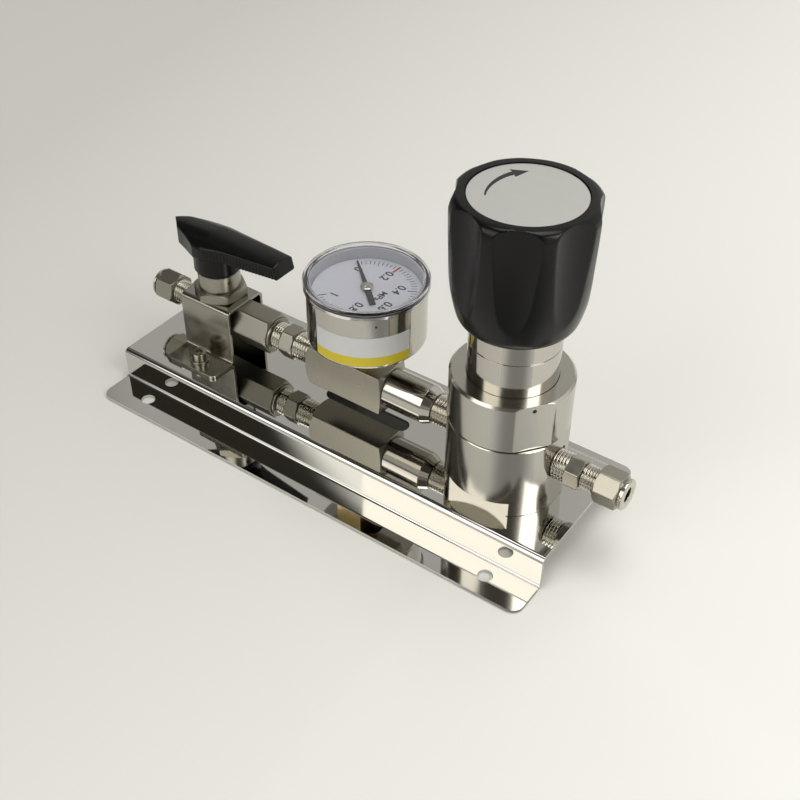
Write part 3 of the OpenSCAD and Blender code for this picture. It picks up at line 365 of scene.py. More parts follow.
def fillet(points, r, closed):
    """The same outline with each corner turned into a small arc, but for nearly straight ones."""
    out = []
    n, steps, nearly_straight = len(points), 3, rad(172)
    for i, p in enumerate(points):
        if not closed and i in (0, n - 1):
            out.append(p)
            continue
        a, b = points[i - 1], points[(i + 1) % n]
        u = Vector((a[0] - p[0], a[1] - p[1]))
        v = Vector((b[0] - p[0], b[1] - p[1]))
        if u.length < 1e-6 or v.length < 1e-6:
            out.append(p)
            continue
        angle = u.angle(v)
        if angle > nearly_straight or p[0] < 1e-6:
            out.append(p)
            continue
        t = min(r / math.tan(angle / 2), u.length * 0.45, v.length * 0.45)
        p0 = Vector(p) + u.normalized() * t
        p1 = Vector(p) + v.normalized() * t
        for k in range(steps + 1):
            s = k / steps
            q = p0 * (1 - s) ** 2 + Vector(p) * 2 * s * (1 - s) + p1 * s ** 2
            out.append((q.x, q.y))
    return out


def lathe(name, points, mat, place, r, n, closed=False, **kw):
    """A turned piece of n sides from (radius, height) points, corners rounded by r; closed makes a ring."""
    pts = fillet(points, r, closed) if r else points
    verts, rings = [], []
    for rr, z in pts:
        if rr < 1e-6:
            rings.append([len(verts)])
            verts.append((0, 0, z))
        else:
            rings.append(list(range(len(verts), len(verts) + n)))
            verts += [(x, y, z) for x, y in circle(rr, n)]
    faces = []
    m = len(rings)
    for i in range(m if closed else m - 1):
        a, b = rings[i], rings[(i + 1) % m]
        for k in range(n):
            j = (k + 1) % n
            if len(a) == 1 and len(b) == 1:
                continue
            if len(a) == 1:
                faces.append((a[0], b[k], b[j]))
            elif len(b) == 1:
                faces.append((a[k], a[j], b[0]))
            else:
                faces.append((a[k], a[j], b[j], b[k]))
    return piece(name, verts, faces, mat, place, **kw)


def field(name, zs, radius, mat, place, n, bore=0.0, start=0.0, **kw):
    """A piece given by its outer radius at each angle and height, flat-ended, with an optional bore."""
    turns = [start + 360.0 * k / n for k in range(n)]
    verts = []
    for z in zs:
        for a in turns:
            rr = radius(a, z)
            verts.append((rr * math.cos(rad(a)), rr * math.sin(rad(a)), z))
    m = len(zs)
    faces = bands(m, n)
    if bore:
        for z in (zs[0], zs[-1]):
            verts += [(bore * math.cos(rad(a)), bore * math.sin(rad(a)), z) for a in turns]
        lo, hi = m * n, (m + 1) * n
        for k in range(n):
            j = (k + 1) % n
            faces.append((k, lo + k, lo + j, j))
            faces.append(((m - 1) * n + k, (m - 1) * n + j, hi + j, hi + k))
            faces.append((lo + k, hi + k, hi + j, lo + j))
    else:
        faces.append(tuple(range(n))[::-1])
        faces.append(tuple(range((m - 1) * n, m * n)))
    return piece(name, verts, faces, mat, place, **kw)


def hex_bar(name, flats, length, mat, place, turn, chamfer, bore, **kw):
    """A six-sided bar with blunt corners and coned ends; flats is its width across them."""
    corner, face = flats / math.sqrt(3), flats / 2 - 0.15

    def radius(a, z):
        w = (a - turn) % 60.0 - 30.0
        side = min(flats / 2 / math.cos(rad(w)), corner - 0.12)
        end = min(z, length - z)
        cone = face + (corner - face) * min(end / chamfer, 1.2)
        return min(side, cone)

    zs = [chamfer * k / 8 for k in range(9)]
    zs += [length - z for z in reversed(zs)]
    return field(name, zs, radius, mat, place, 180, bore, turn, **kw)


def thread(name, r0, r1, length, pitch, place, bore, **kw):
    """A helical thread with a rounded V form, from radius r0 to r1, that fades out at both ends."""
    depth, crest, flank, fade = 0.62 * pitch, 0.12, 0.76, 0.5
    rows = int(length / pitch * 10) + 1
    zs = [length * i / (rows - 1) for i in range(rows)]

    def radius(a, z):
        t = (z / pitch - a / 360.0) % 1.0
        v = min(max((abs(t - 0.5) * 2 - crest) / flank, 0), 1)
        end = min(z, length - z)
        return r0 + (r1 - r0) * z / length - depth * max(v, 1 - min(end / fade, 1))

    return field(name, zs, radius, BRIGHT, place, 64, bore, sharp=60, weighted=False, slot="satin_steel",
                 **kw)


def add_bevel(ob, width):
    b = ob.modifiers.new("edge", "BEVEL")
    b.width = width * MM
    b.segments = 2
    b.limit_method = "ANGLE"
    b.angle_limit = rad(35)
    b.harden_normals = False
    ob.modifiers.move(len(ob.modifiers) - 1, 0)


def prism(name, outline, height, mat, place, bevel=0.0, **kw):
    n = len(outline)
    verts = [(x, y, z) for z in (0, height) for x, y in outline]
    faces = [tuple(range(n))[::-1], tuple(range(n, 2 * n))]
    faces += [(k, (k + 1) % n, n + (k + 1) % n, n + k) for k in range(n)]
    ob = piece(name, verts, faces, mat, place, **kw)
    if bevel:
        add_bevel(ob, bevel)
    return ob


def cutter(outline, height, place):
    return prism("cutter", outline, height, PAINTED_SHADE, place)


def cut(ob, cutters):
    """Takes the cutters' solids out of ob for good, and removes them."""
    for c in cutters:
        c.modifiers.clear()
        m = ob.modifiers.new("cut", "BOOLEAN")
        m.operation = "DIFFERENCE"
        m.solver = "EXACT"
        m.object = c
        ob.modifiers.move(len(ob.modifiers) - 1, 0)
    for m in ob.modifiers:
        m.show_viewport = m.type == "BOOLEAN"
    dg = bpy.context.evaluated_depsgraph_get()
    new = bpy.data.meshes.new_from_object(ob.evaluated_get(dg))
    for m in list(ob.modifiers):
        if m.type == "BOOLEAN":
            ob.modifiers.remove(m)
        else:
            m.show_viewport = True
    old = ob.data
    ob.data = new
    new.name = ob.name
    bpy.data.meshes.remove(old)
    for c in cutters:
        bpy.data.objects.remove(c)
    bm = bmesh.new()
    bm.from_mesh(new)
    bmesh.ops.dissolve_degenerate(bm, edges=bm.edges, dist=1e-7)
    shade(bm, 28)
    bm.to_mesh(new)
    bm.free()


# folded sheets

def hat_outline(inner, outer, height):
    """Closed section of the folded sheet in (y, z), from the right foot round and back."""
    t, ro = SHEET, FOLD_R
    h, f, ri = inner / 2, outer / 2, ro - t
    right_out = arc_points(h + ri, t + ri, ri, 270, 180)
    right_top = arc_points(h - ro, height - ro, ro, 0, 90)
    outside = [(f, t)] + right_out + right_top
    right_in_top = arc_points(h - ro, height - ro, ri, 90, 0)
    right_in = arc_points(h + ri, t + ri, ro, 180, 270)
    inside = right_in_top + right_in + [(f, 0)]
    top = outside + [(-y, z) for y, z in reversed(outside)]
    bottom = [(-y, z) for y, z in reversed(inside)] + inside
    return top + bottom


def folded(name, length, inner, outer, height, mat, place, **kw):
    turn = Matrix(((0, 0, 1, -length / 2), (1, 0, 0, 0), (0, 1, 0, 0), (0, 0, 0, 1)))
    return prism(name, hat_outline(inner, outer, height), length, mat, place @ turn, **kw)


def corner_cutters(length, width, r, place):
    """Solids that round the four corners of a sheet lying at place."""
    out = []
    quarters = {(-1, -1): 180, (-1, 1): 90, (1, -1): 270, (1, 1): 0}
    for (sx, sy), start in quarters.items():
        x, y = length / 2, width / 2
        ring = arc_points(sx * (x - r), sy * (y - r), r, start, start + 90, 10)
        outside = [(sx * (x - r), sy * (y + 2)), (sx * (x + 2), sy * (y + 2)), (sx * (x + 2), sy * (y - r))]
        out.append(cutter(ring + (outside if sx == sy else outside[::-1]), 6, place @ up(0, 0, -2)))
    return out


def panel():
    ob = folded("panel_sheet", PANEL_LENGTH, CHANNEL_WIDTH, PANEL_WIDTH, TOP, MIRROR, up(), node="panel",
                slot="polished_steel")
    cuts = corner_cutters(PANEL_LENGTH, PANEL_WIDTH, PANEL_CORNER, up())
    for sx in (-1, 1):
        for sy in (-1, 1):
            cuts.append(cutter(circle(HOLE_R, 64), 6, up(sx * HOLE_X, sy * HOLE_Y, -2)))
    window = arc_points(SLOT_X + SLOT_HALF, 0, SLOT_R, -90, 90, 16)
    window += arc_points(SLOT_X - SLOT_HALF, 0, SLOT_R, 90, 270, 16)
    cuts.append(cutter(window, 6, up(0, 0, TOP - 4)))
    cut(ob, cuts)
    add_bevel(ob, 0.22)


def bracket():
    place = up(VALVE, 0, TOP)
    ob = folded("bracket_sheet", BRACKET_LENGTH, BRACKET_WIDTH, BRACKET_FEET, FLAT_Z + SHEET - TOP, BRACKET,
                place, node="valve_bracket", slot="satin_steel")
    cuts = corner_cutters(BRACKET_LENGTH, BRACKET_FEET, BRACKET_CORNER, place)
    cuts.append(cutter(circle(NECK_THREAD_R + 0.3, 64), 6, up(VALVE, 0, FLAT_Z - 2)))
    cut(ob, cuts)
    add_bevel(ob, 0.2)


def bracket_fixing(i, y):
    """A washer, a socket cap screw and a nut below; the first of each stands for the CAD node of both."""
    foot = TOP + SHEET
    start = foot + WASHER - SHANK
    washer = lathe(f"bracket_washer_{i}", [(2.1, 0), (4.5, 0), (4.5, WASHER), (2.1, WASHER)], SATIN,
                   up(VALVE, y, foot), 0.15, 64, True, slot="satin_steel")
    screw = lathe(f"bracket_screw_{i}", [(0, 0), (SCREW_R, 0), (SCREW_R, SHANK), (HEAD_R, SHANK),
                                         (HEAD_R, SHANK + HEAD), (0, SHANK + HEAD)],
                  SATIN, up(VALVE, y, start), 0.25, 64, slot="satin_steel")
    cut(screw, [cutter(circle(SOCKET_R, 6), 4, up(VALVE, y, start + SHANK + 1.9))])
    nut = hex_bar(f"bracket_nut_{i}", SMALL_NUT_FLATS, SMALL_NUT, SATIN,
                  up(VALVE, y, TOP - SHEET - SMALL_NUT), 30, 0.4, SCREW_R + 0.05, slot="satin_steel")
    if i == 0:
        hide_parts("bracket_washers")
        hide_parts("bracket_screws")
        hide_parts("bracket_nuts")


panel()
bracket()
for i, y in enumerate((-SCREW_Y, SCREW_Y)):
    bracket_fixing(i, y)


# shut-off valve

def lying(x, y, z):
    """Local +Z points along -Y."""
    return Matrix.Translation((x, y, z)) @ Matrix.Rotation(rad(90), 4, "X")


def facing_out(place, x, y=0.0):
    """From place, a step out to x; local +Z points outward."""
    return place @ Matrix.Translation((x, y, 0)) @ Matrix.Rotation(rad(90), 4, "Y")


def valve():
    hex_bar("valve_bar", VALVE_FLATS, VALVE_LENGTH, DRAWN, row(VALVE_START), 30, 0.9, FLOW_R,
            node="valve_body", slot="satin_steel")
    lathe("valve_neck", [(3.1, 0), (NECK_THREAD_R, 0), (NECK_THREAD_R, 10.5), (NECK_THREAD_R - 0.4, 11.4),
                         (5, 11.4), (5, 5), (3.1, 5)],
          SATIN, up(VALVE, 0, FLAT_Z - 0.5), 0.2, 64, True, slot="satin_steel")
    thread("inlet_stub", STUB_R, STUB_R, INLET_STUB, STUB_PITCH, row(VALVE_START - INLET_STUB), TUBE_R)
    lathe("valve_end_boss", [(0, -4), (7.5, -4), (7.5, 0), (8.1, 0), (8.1, 1), (0, 1)], SATIN,
          row(VALVE_START + VALVE_LENGTH), 0.2, 96, node="valve_end", slot="satin_steel")
    hex_bar("clamp_nut", LOCK_NUT_FLATS, LOCK_NUT, DRAWN, up(VALVE, 0, FLAT_Z + SHEET), 27, 1.0,
            NECK_THREAD_R + 0.05, node="lock_nut", slot="satin_steel")
    cap = lathe("packing_cap_body", [(3.2, 0), (CAP_R, 0), (CAP_R, CAP_HEIGHT), (3.2, CAP_HEIGHT)], SATIN,
                up(VALVE, 0, CAP_Z), 0.6, 128, True, node="packing_cap", slot="satin_steel")
    cut(cap, [cutter(circle(CAP_HOLE_R, 32), 5, facing_out(up(VALVE, 0, CAP_Z + CAP_HOLE, a), CAP_R - 1.6))
              for a in (-20, 160)])


valve()


# lever handle

def arm_half(x):
    """Half width of the handle at x: a long straight taper, a swelling hub and a pointed tail."""
    t = abs(x)
    swell = SWELL * math.exp(-(t / SWELL_REACH) ** 2)
    if x >= 0:
        return ROOT_HALF + (TIP_HALF - ROOT_HALF) * x / REACH + swell
    if t <= TAIL - POINT:
        taper = max(0, t - TAIL_START) / (TAIL - POINT - TAIL_START)
        return ROOT_HALF + (TAIL_HALF - ROOT_HALF) * taper + swell
    return max(TAIL_HALF * (TAIL - t) / POINT, 0.05)


def crown_top(x):
    """Height of the crown's ridge above the hub's foot."""
    return LIFT - (x * ARM_FALL if x >= 0 else -x * TAIL_FALL)


def line_at(x, points):
    """Height at x of the line through points."""
    for (x0, z0), (x1, z1) in zip(points, points[1:]):
        if x <= x1:
            return z0 + (z1 - z0) * (x - x0) / (x1 - x0)
    return points[-1][1]


def handle_section(x, shrink=0.0):
    """Half section from the middle of the top to the middle of the underside, as (y, z)."""
    w = max(arm_half(x) - shrink, 0.04)
    top = crown_top(x) - shrink * 0.6
    under = line_at(x, UNDERSIDE) + shrink * 0.6
    edge = top - (CROWN - math.sqrt(CROWN * CROWN - w * w))
    q = min(w * 0.35, 0.9)
    pts = []
    for k in range(9):
        y = (w - q) * k / 8
        pts.append((y, top - (CROWN - math.sqrt(CROWN * CROWN - y * y))))
    side_top, side_foot = edge - q * 0.8, under + 0.7
    pts += [(w - q * 0.4, edge + q * 0.12), (w - q * 0.1, edge - q * 0.25), (w, side_top)]
    side = len(pts)
    pts += [(w, side_top + (side_foot - side_top) * k / 12) for k in range(1, 13)]
    pts += [(w - q * 0.25, under + 0.2), (w - q * 0.7, under), (0, under)]
    if 1.2 < x < REACH - 1.4:
        phase = ((x - 1.0) / RIB_PITCH) % 1.0
        dent = 0.0 if phase < 0.5 else -RIB_DEPTH * math.sin(math.pi * (phase - 0.5) * 2)
        pts = pts[:side] + [(y + dent if z < edge - 1.5 and y > 1 else y, z) for y, z in pts[side:]]
    return pts


def lever():
    """The handle: sections across it, joined end to end, with a raked end face whose top leans back."""
    step = 0.2
    count = int((REACH + TAIL - 0.6) / step)
    stations = [(-TAIL + step * k, 0.0) for k in range(count + 1)]
    stations += [(REACH - 0.35, 0.0), (REACH - 0.05, 0.3)]
    verts = []
    for x, shrink in stations:
        half = handle_section(x, shrink)
        for y, z in half + [(-y, z) for y, z in reversed(half[1:-1])]:
            lean = max(0, x - RAKE_START) / (REACH - RAKE_START) * max(0, z - (LIFT - END_DROP)) * RAKE
            verts.append((x - lean, y, z))
    n = len(verts) // len(stations)
    faces = bands(len(stations), n)
    faces.append(tuple(range(n))[::-1])
    faces.append(tuple(range(len(verts) - n, len(verts))))
    piece("handle_lever", verts, faces, BLACK, up(VALVE, 0, HUB_Z), node="valve_handle", slot="black_plastic",
          sharp=38, body="valve_key")


def handle():
    lever()
    bore, top = 3.05, LIFT - 6.6
    hub = lathe("handle_hub", [(bore, 0), (HUB_R - 0.7, 0), (HUB_R, 1.2), (HUB_R, top), (bore, top)],
                BLACK, up(VALVE, 0, HUB_Z), 0.35, 144, True, body="valve_key", slot="black_plastic")
    cut(hub, [cutter(circle(SET_SCREW_R + 0.05, 64), 12, lying(VALVE, -2, SET_SCREW_Z))])
    for i, x in enumerate((7 - TAIL, REACH - 6.5)):
        lathe(f"handle_dent_{i}", [(0, -0.5), (1.0, -0.5), (1.0, 0.05), (0.6, 0.08), (0, -0.1)], BLACK,
              up(VALVE + x, 0, HUB_Z + crown_top(x)), 0.05, 24, body="valve_key", slot="black_plastic")
    screw = lathe("handle_screw_end", [(0, -6), (SET_SCREW_R, -6), (SET_SCREW_R, 0), (0, 0)], DARK,
                  lying(VALVE, -9.0, SET_SCREW_Z), 0.2, 48, body="valve_key", node="handle_screw",
                  slot="black_steel")
    cut(screw, [cutter(circle(1.15, 6), 4, lying(VALVE, -7.0, SET_SCREW_Z))])


handle()


# tube nuts

def tube_nut(name, turn, place, node):
    hex_bar(name, TUBE_NUT_FLATS, TUBE_NUT, SATIN, place, turn, 0.9, TUBE_R, node=node, slot="satin_steel")
    lathe(name + "_collar", [(TUBE_R, 10.1), (5.95, 10.1), (5.95, 11.35), (6.8, 11.6), (6.8, 12.4),
                             (6.2, 12.9), (4.1, 12.9), (TUBE_R, 12.3)],
          BRIGHT, place, 0.12, 96, True, slot="satin_steel")


tube_nut("inlet_tube_nut", 15, row(VALVE_START - 9.8, True), "inlet_nut")
tube_nut("outlet_tube_nut", 18, row(OUTLET_NUT_X), "outlet_nut")


# nipple, block, coupling

def nipple():
    thread("nipple_thread_a", 6.35, PIPE_R, 8.2, PIPE_PITCH, row(NIPPLE_X - 8), FLOW_R)
    hex_bar("nipple_hex", NIPPLE_FLATS, NIPPLE, SATIN, row(NIPPLE_X), 30, 0.8, FLOW_R, node="hex_nipple",
            slot="satin_steel")
    thread("nipple_thread_b", PIPE_R, 6.3, 13.5, PIPE_PITCH, row(NIPPLE_X + NIPPLE - 0.1), FLOW_R)


def block_radius(a, x):
    """A rectangle with coned ends; local X is the block's height."""
    c, s = abs(math.cos(rad(a))), abs(math.sin(rad(a)))
    across, aside = BLOCK_HALF
    square = min(across / max(c, 1e-6), aside / max(s, 1e-6), BLOCK_CORNER_R)
    cone = BLOCK_FACE_R + BLOCK_CONE_RISE * min(x / BLOCK_CONE, BLOCK_LENGTH - x)
    return min(square, cone)


def block():
    xs = [0.15 * k for k in range(20)] + [4, 8, 20, 36, BLOCK_LENGTH - 1]
    xs += [BLOCK_LENGTH - 0.9 + 0.1 * k for k in range(10)]
    field("block_body", xs, block_radius, SATIN, row(BLOCK_X), 240, FLOW_R, node="gauge_block",
          slot="satin_steel", sharp=24)


def coupling():
    thread("coupling_thread", 6.2, PIPE_R - 0.05, 10, PIPE_PITCH, row(COUPLING_X - 10.5), FLOW_R)
    lathe("coupling_body", [(FLOW_R, 0), (COUPLING_R - 0.4, 0), (COUPLING_R, 0.4), (COUPLING_R, COUPLING - 4),
                            (COUPLING_R - 1.9, COUPLING), (FLOW_R, COUPLING)],
          POLISHED, row(COUPLING_X), 0.25, 160, True, node="coupling", slot="polished_steel")
    thread("regulator_thread", PIPE_R, PIPE_R, 19, PIPE_PITCH, row(COUPLING_X + COUPLING), FLOW_R,
           node="regulator_nipple")


nipple()
block()
coupling()


# gauge

def gauge_case():
    inner = CASE_R - CASE_WALL
    foot = arc_points(CASE_R - CASE_BEND, CASE_Z + CASE_BEND, CASE_BEND, -90, 0, 6)
    lathe("case_shell", [(CASE_FOOT_R, CASE_Z)] + foot
          + [(CASE_R, RIM_Z - 0.2), (inner, RIM_Z - 0.2), (inner, CASE_Z + CASE_WALL),
             (CASE_FOOT_R, CASE_Z + CASE_WALL)],
          POLISHED, up(GAUGE), 0.15, 192, True, node="gauge_case", slot="polished_steel")
    lathe("case_rim_seal", [(inner, RIM_Z - 0.7), (26.0, RIM_Z - 0.7), (26.0, RIM_Z - 0.05),
                            (inner, RIM_Z - 0.05)],
          DARK, up(GAUGE), 0.1, 160, True, slot="black_steel")
    cover = [(0, 0.3), (25.95, 0.3), (25.95, -1.6), (26.75, -1.6), (26.75, 1.5), (26.45, 2.0), (26.0, 2.2),
             (24.6, 2.2), (24.3, 1.9), (24.1, 1.35), (23.6, 1.25), (0, 1.25)]
    lathe("cover_ring", [(r, RIM_Z + z) for r, z in cover], CLEAR, up(GAUGE), 0.08, 192, node="gauge_cover",
          slot="clear_plastic")
    lathe("dial_plate", [(0, DIAL_Z - 0.5), (DIAL_R, DIAL_Z - 0.5), (DIAL_R, DIAL_Z), (0, DIAL_Z)], DIAL,
          up(GAUGE), 0.1, 160, node="gauge_dial", slot="white_paint")
    near, far = DIAL_R + 0.15, inner - 0.3
    lathe("dial_wall", [(near, DIAL_Z - 0.4), (far, DIAL_Z - 0.4), (far, RIM_Z - 0.1), (near, RIM_Z - 0.1)],
          WALL, up(GAUGE), 0.1, 160, True, slot="polished_steel")


def dial_angle(value):
    return DIAL_ZERO - DIAL_SWEEP * value


def tick(value, inner, outer, width, mat, lift=0.0):
    outline = [(inner, -width / 2), (outer, -width / 2), (outer, width / 2), (inner, width / 2)]
    return prism("tick", outline, 0.03, mat, up(GAUGE, 0, DIAL_Z + lift, dial_angle(value)))


def words(text, size, mat, place, bold):
    """Plain figures, from Blender's own outline font, as a thin print."""
    curve = bpy.data.curves.new("figure", "FONT")
    curve.body = text
    curve.size = size
    curve.offset = bold
    curve.align_x = "CENTER"
    curve.align_y = "CENTER"
    ob = bpy.data.objects.new("figure", curve)
    scene.collection.objects.link(ob)
    dg = bpy.context.evaluated_depsgraph_get()
    me = bpy.data.meshes.new_from_object(ob.evaluated_get(dg))
    bpy.data.objects.remove(ob)
    for v in me.vertices:
        v.co = (place @ Vector((v.co.x, v.co.y, 0))) * MM
    return add_object("figure", me, mat)


def merge(name, prints, mat):
    """Joins small flat prints into one piece."""
    bm = bmesh.new()
    for o in prints:
        bm.from_mesh(o.data)
    me = bpy.data.meshes.new(name)
    bm.to_mesh(me)
    bm.free()
    for o in prints:
        bpy.data.objects.remove(o)
    return declare(add_object(name, me, mat), slot="black_paint")


def dial_prints():
    """Fifty small divisions, a red mark, the figures by radius and angle, and the unit."""
    marks, divisions = [], 50
    for k in range(divisions + 1):
        inner = 17.0 if k % 10 == 0 else 17.8 if k % 5 == 0 else 18.6
        marks.append(tick(k / divisions, inner, TICK_R, 0.5 if k % 10 == 0 else 0.3, PRINT))
    merge("dial_marks", marks, PRINT)
    merge("dial_limit_mark", [tick(0.2, 16.3, TICK_R + 0.4, 0.9, RED, 0.01)], RED)
    figures = []
    for text, r, a in [("0", 15.4, 141), ("0.2", 12.7, 86), ("0.4", 13.3, 33), ("0.6", 14.5, -23),
                       ("0.8", 13.6, -73), ("1", 14.1, -128)]:
        place = up(GAUGE + r * math.cos(rad(a)), r * math.sin(rad(a)), DIAL_Z + 0.03, -90)
        figures.append(words(text, 5.4, PRINT, place, 0.12))
    merge("dial_figures", figures, PRINT)
    merge("dial_unit", [words("MPa", 4.2, PRINT, up(GAUGE + 7.6, -0.9, DIAL_Z + 0.03, -90), 0.1)], PRINT)


def pointer():
    """A square tail, a tapered blade and a domed hub."""
    edge = [(-12.4, -1.3), (-3.2, -1.3), (0, -2.2), (3, -1.0), (20.8, -0.3)]
    prism("pointer_blade", edge + [(x, -y) for x, y in reversed(edge)], 0.5, PAINT,
          up(GAUGE, 0, DIAL_Z + 0.5, DIAL_ZERO - 0.5), 0.06,
          body="pointer", node="gauge_pointer", slot="black_paint")
    lathe("pointer_hub", [(0, 0), (2.8, 0), (2.8, 0.7), (2.4, 0.9), (1.6, 1.0), (1.3, 1.6), (0, 1.65)],
          POLISHED, up(GAUGE, 0, DIAL_Z + 1.0), 0.15, 48, body="pointer", slot="polished_steel")


def wrapped(name, z0, z1, mat):
    """A thin sheet wrapped on the gauge case, from z0 to z1."""
    r, thick, n = CASE_R + 0.02, 0.06, 48
    verts = []
    for k in range(n + 1):
        a = rad(LABEL_FROM + (LABEL_TO - LABEL_FROM) * k / n)
        verts += [(rr * math.cos(a), rr * math.sin(a), z) for rr in (r, r + thick) for z in (z0, z1)]
    faces = []
    for i in range(0, 4 * n, 4):
        j = i + 4
        faces += [(i, j, j + 1, i + 1), (i + 2, i + 3, j + 3, j + 2), (i + 1, j + 1, j + 3, i + 3),
                  (i, i + 2, j + 2, j)]
    faces += [(0, 1, 3, 2), (4 * n, 4 * n + 2, 4 * n + 3, 4 * n + 1)]
    piece(name, verts, faces, mat, up(GAUGE), slot="white_paint")


gauge_case()
dial_prints()
pointer()
wrapped("case_label", LABEL_SPLIT, LABEL_TOP, LABEL)
wrapped("case_label_band", LABEL_FOOT, LABEL_SPLIT, YELLOW)


# regulator

def body_radius(a, z):
    """The drum with a broken foot, a low flat in front and a leaning flat at the outlet."""
    r = DRUM_R - (FOOT_CHAMFER - min(z - TOP, FOOT_CHAMFER) + max(z - (SPLIT - SEAM_CHAMFER), 0))
    outlet, front = math.cos(rad(a)), -math.sin(rad(a))
    if z < FRONT_FLAT_TOP and front > 0:
        r = min(r, FRONT_FLAT / front)
    if outlet > 0.2:
        r = min(r, (SIDE_FLAT - (z - TOP) * math.tan(rad(SIDE_FLAT_LEAN))) / outlet)
    return r


def ring_radius(a, z):
    """The ring above the seam, with a flat on either side."""
    r = DRUM_R - (max(SEAM_CHAMFER - (z - (SPLIT + SEAM)), 0) + max(z - (RING_TOP - RING_CHAMFER), 0))
    for middle in RING_FLAT_AT:
        c = math.cos(rad(a - middle))
        if c > 0.5:
            r = min(r, RING_FLAT / c)
    return r


def regulator():
    zs = [TOP, TOP + 0.15, TOP + FOOT_CHAMFER, TOP + 3, FRONT_FLAT_TOP - 0.02, FRONT_FLAT_TOP + 0.02]
    zs += [TOP + 12, TOP + 18, TOP + 24, TOP + 30, SPLIT - SEAM_CHAMFER, SPLIT]
    field("regulator_drum", zs, body_radius, TURNED, up(REG), 360, node="regulator_body",
          slot="polished_steel", sharp=20)
    # painted shade: a black disc inside the drum, seen through the seam as a dark line
    lathe("regulator_seam_shade", [(0, SPLIT - 0.2), (22, SPLIT - 0.2), (22, SPLIT + 1), (0, SPLIT + 1)], PAINTED_SHADE,
          up(REG), 0, 96, slot="polished_steel")
    zs = [SPLIT + SEAM, SPLIT + SEAM + SEAM_CHAMFER] + [SPLIT + 3 + 3 * k for k in range(6)]
    zs += [RING_TOP - drop for drop in (RING_CHAMFER, 0.75, 0.5, 0.25, 0.1, 0)]
    field("cap_ring_body", zs, ring_radius, TURNED, up(REG), 360, NECK_R + 0.2, node="cap_ring",
          slot="polished_steel", sharp=20)
    lathe("neck_body", [(0, NECK_FOOT), (NECK_R, NECK_FOOT), (NECK_R, GROOVE_Z - 0.1),
                        (NECK_R - 0.45, GROOVE_Z), (NECK_R - 0.45, GROOVE_Z + 0.5),
                        (NECK_R + 0.1, GROOVE_Z + 0.6), (NECK_R + 0.1, NECK_TOP - 1.3),
                        (NECK_R - 1.1, NECK_TOP), (0, NECK_TOP)],
          POLISHED, up(REG), 0.12, 192, node="bonnet", slot="polished_steel")


regulator()


# fluted knob

def smooth_line(points, step):
    """Points about step apart on a smooth curve through the given ones."""
    out = []
    ps = [points[0]] + points + [points[-1]]
    for i in range(1, len(ps) - 2):
        p0, p1, p2, p3 = (Vector(p) for p in ps[i - 1:i + 3])
        steps = max(2, int((p2 - p1).length / step))
        for k in range(steps):
            t = k / steps
            out.append(0.5 * ((2 * p1) + (p2 - p0) * t + (2 * p0 - 5 * p1 + 4 * p2 - p3) * t * t
                              + (3 * p1 - p0 - 3 * p2 + p3) * t ** 3))
    out.append(Vector(points[-1]))
    return [(p.x, p.y) for p in out]


def blunt_min(a, b, k):
    """The lesser of a and b, rounded off where they differ by less than k."""
    h = max(k - abs(a - b), 0) / k
    return min(a, b) - h * h * k * 0.25


def flute_radius(a):
    """Surface of the shallow flutes, measured from the knob's axis."""
    far, step = FLUTE_INNER + FLUTE_R, 360.0 / FLUTES
    w = (a + FLUTE_TURN + step / 2) % step - step / 2
    across = far * math.sin(rad(w))
    return far * math.cos(rad(w)) - math.sqrt(FLUTE_R * FLUTE_R - across * across)


def knob():
    # how far inside the full radius, with the height above the foot, then the depth below the top
    side = [(7.7, 0.3), (6.3, 1), (5.2, 2.2), (4.4, 3.9), (3.1, 9), (2.0, 15), (1.3, 22), (0.8, 31),
            (0.3, 40)]
    edge = [(0, 5), (0.2, 3.3), (0.8, 1.8), (1.7, 0.8), (2.8, 0.2), (3.9, 0)]
    outline = [(SKIRT_R, KNOB_Z)] + [(KNOB_R - x, KNOB_Z + z) for x, z in side]
    outline += [(KNOB_R - x, KNOB_TOP - z) for x, z in edge]
    rows = smooth_line(outline, step=0.7) + [(RECESS_R, KNOB_TOP), (RECESS_R, KNOB_TOP - RECESS)]
    n = 360
    verts = []
    for r, z in rows:
        for a in range(n):
            rr = blunt_min(r, flute_radius(a), FLUTE_EDGE) if r > RECESS_R + 0.1 else r
            verts.append((rr * math.cos(rad(a)), rr * math.sin(rad(a)), z))
    faces = bands(len(rows), n)
    first = len(verts)
    faces.append(tuple(range(first - n, first)))
    # underside: the skirt's bore and its ceiling
    verts += [(x, y, z) for z in (KNOB_Z, KNOB_Z + SKIRT_DEPTH) for x, y in circle(SKIRT_R, n)]
    faces += bands(2, n, first)
    faces.append(tuple(range(first + n, first + 2 * n))[::-1])
    piece("knob_body", verts, faces, BLACK, up(REG), body="knob", node=["control_knob", "knob_screw"],
          slot="black_plastic", sharp=50, weighted=False)


def disc():
    low = KNOB_TOP - RECESS
    lathe("disc_body", [(0, low), (DISC_R, low), (DISC_R, DISC_Z), (0, DISC_Z)], DISC, up(REG), 0.12, 160,
          body="knob", node="knob_disc", slot="brushed_aluminium")


def arrow():
    """Curved arrow, clockwise, growing thicker toward its head; no words."""
    n, start, sweep = 24, 219, 78
    outer, inner = [], []
    for k in range(n + 1):
        s = k / n
        a = rad(start - sweep * s)
        r = 15.3 - 1.1 * math.sin(math.pi * s)
        w = 0.3 + 0.95 * s
        outer.append(((r + w) * math.cos(a), (r + w) * math.sin(a)))
        inner.append(((r - w) * math.cos(a), (r - w) * math.sin(a)))
    head = [(r * math.cos(rad(a)), r * math.sin(rad(a)))
            for r, a in ((18.3, 142.5), (16.4, 119.5), (12.5, 142))]
    prism("disc_arrow", outer + head + inner[::-1], 0.04, PRINT, up(REG, 0, DISC_Z), body="knob",
          slot="black_paint")


knob()
disc()
arrow()


# outlet

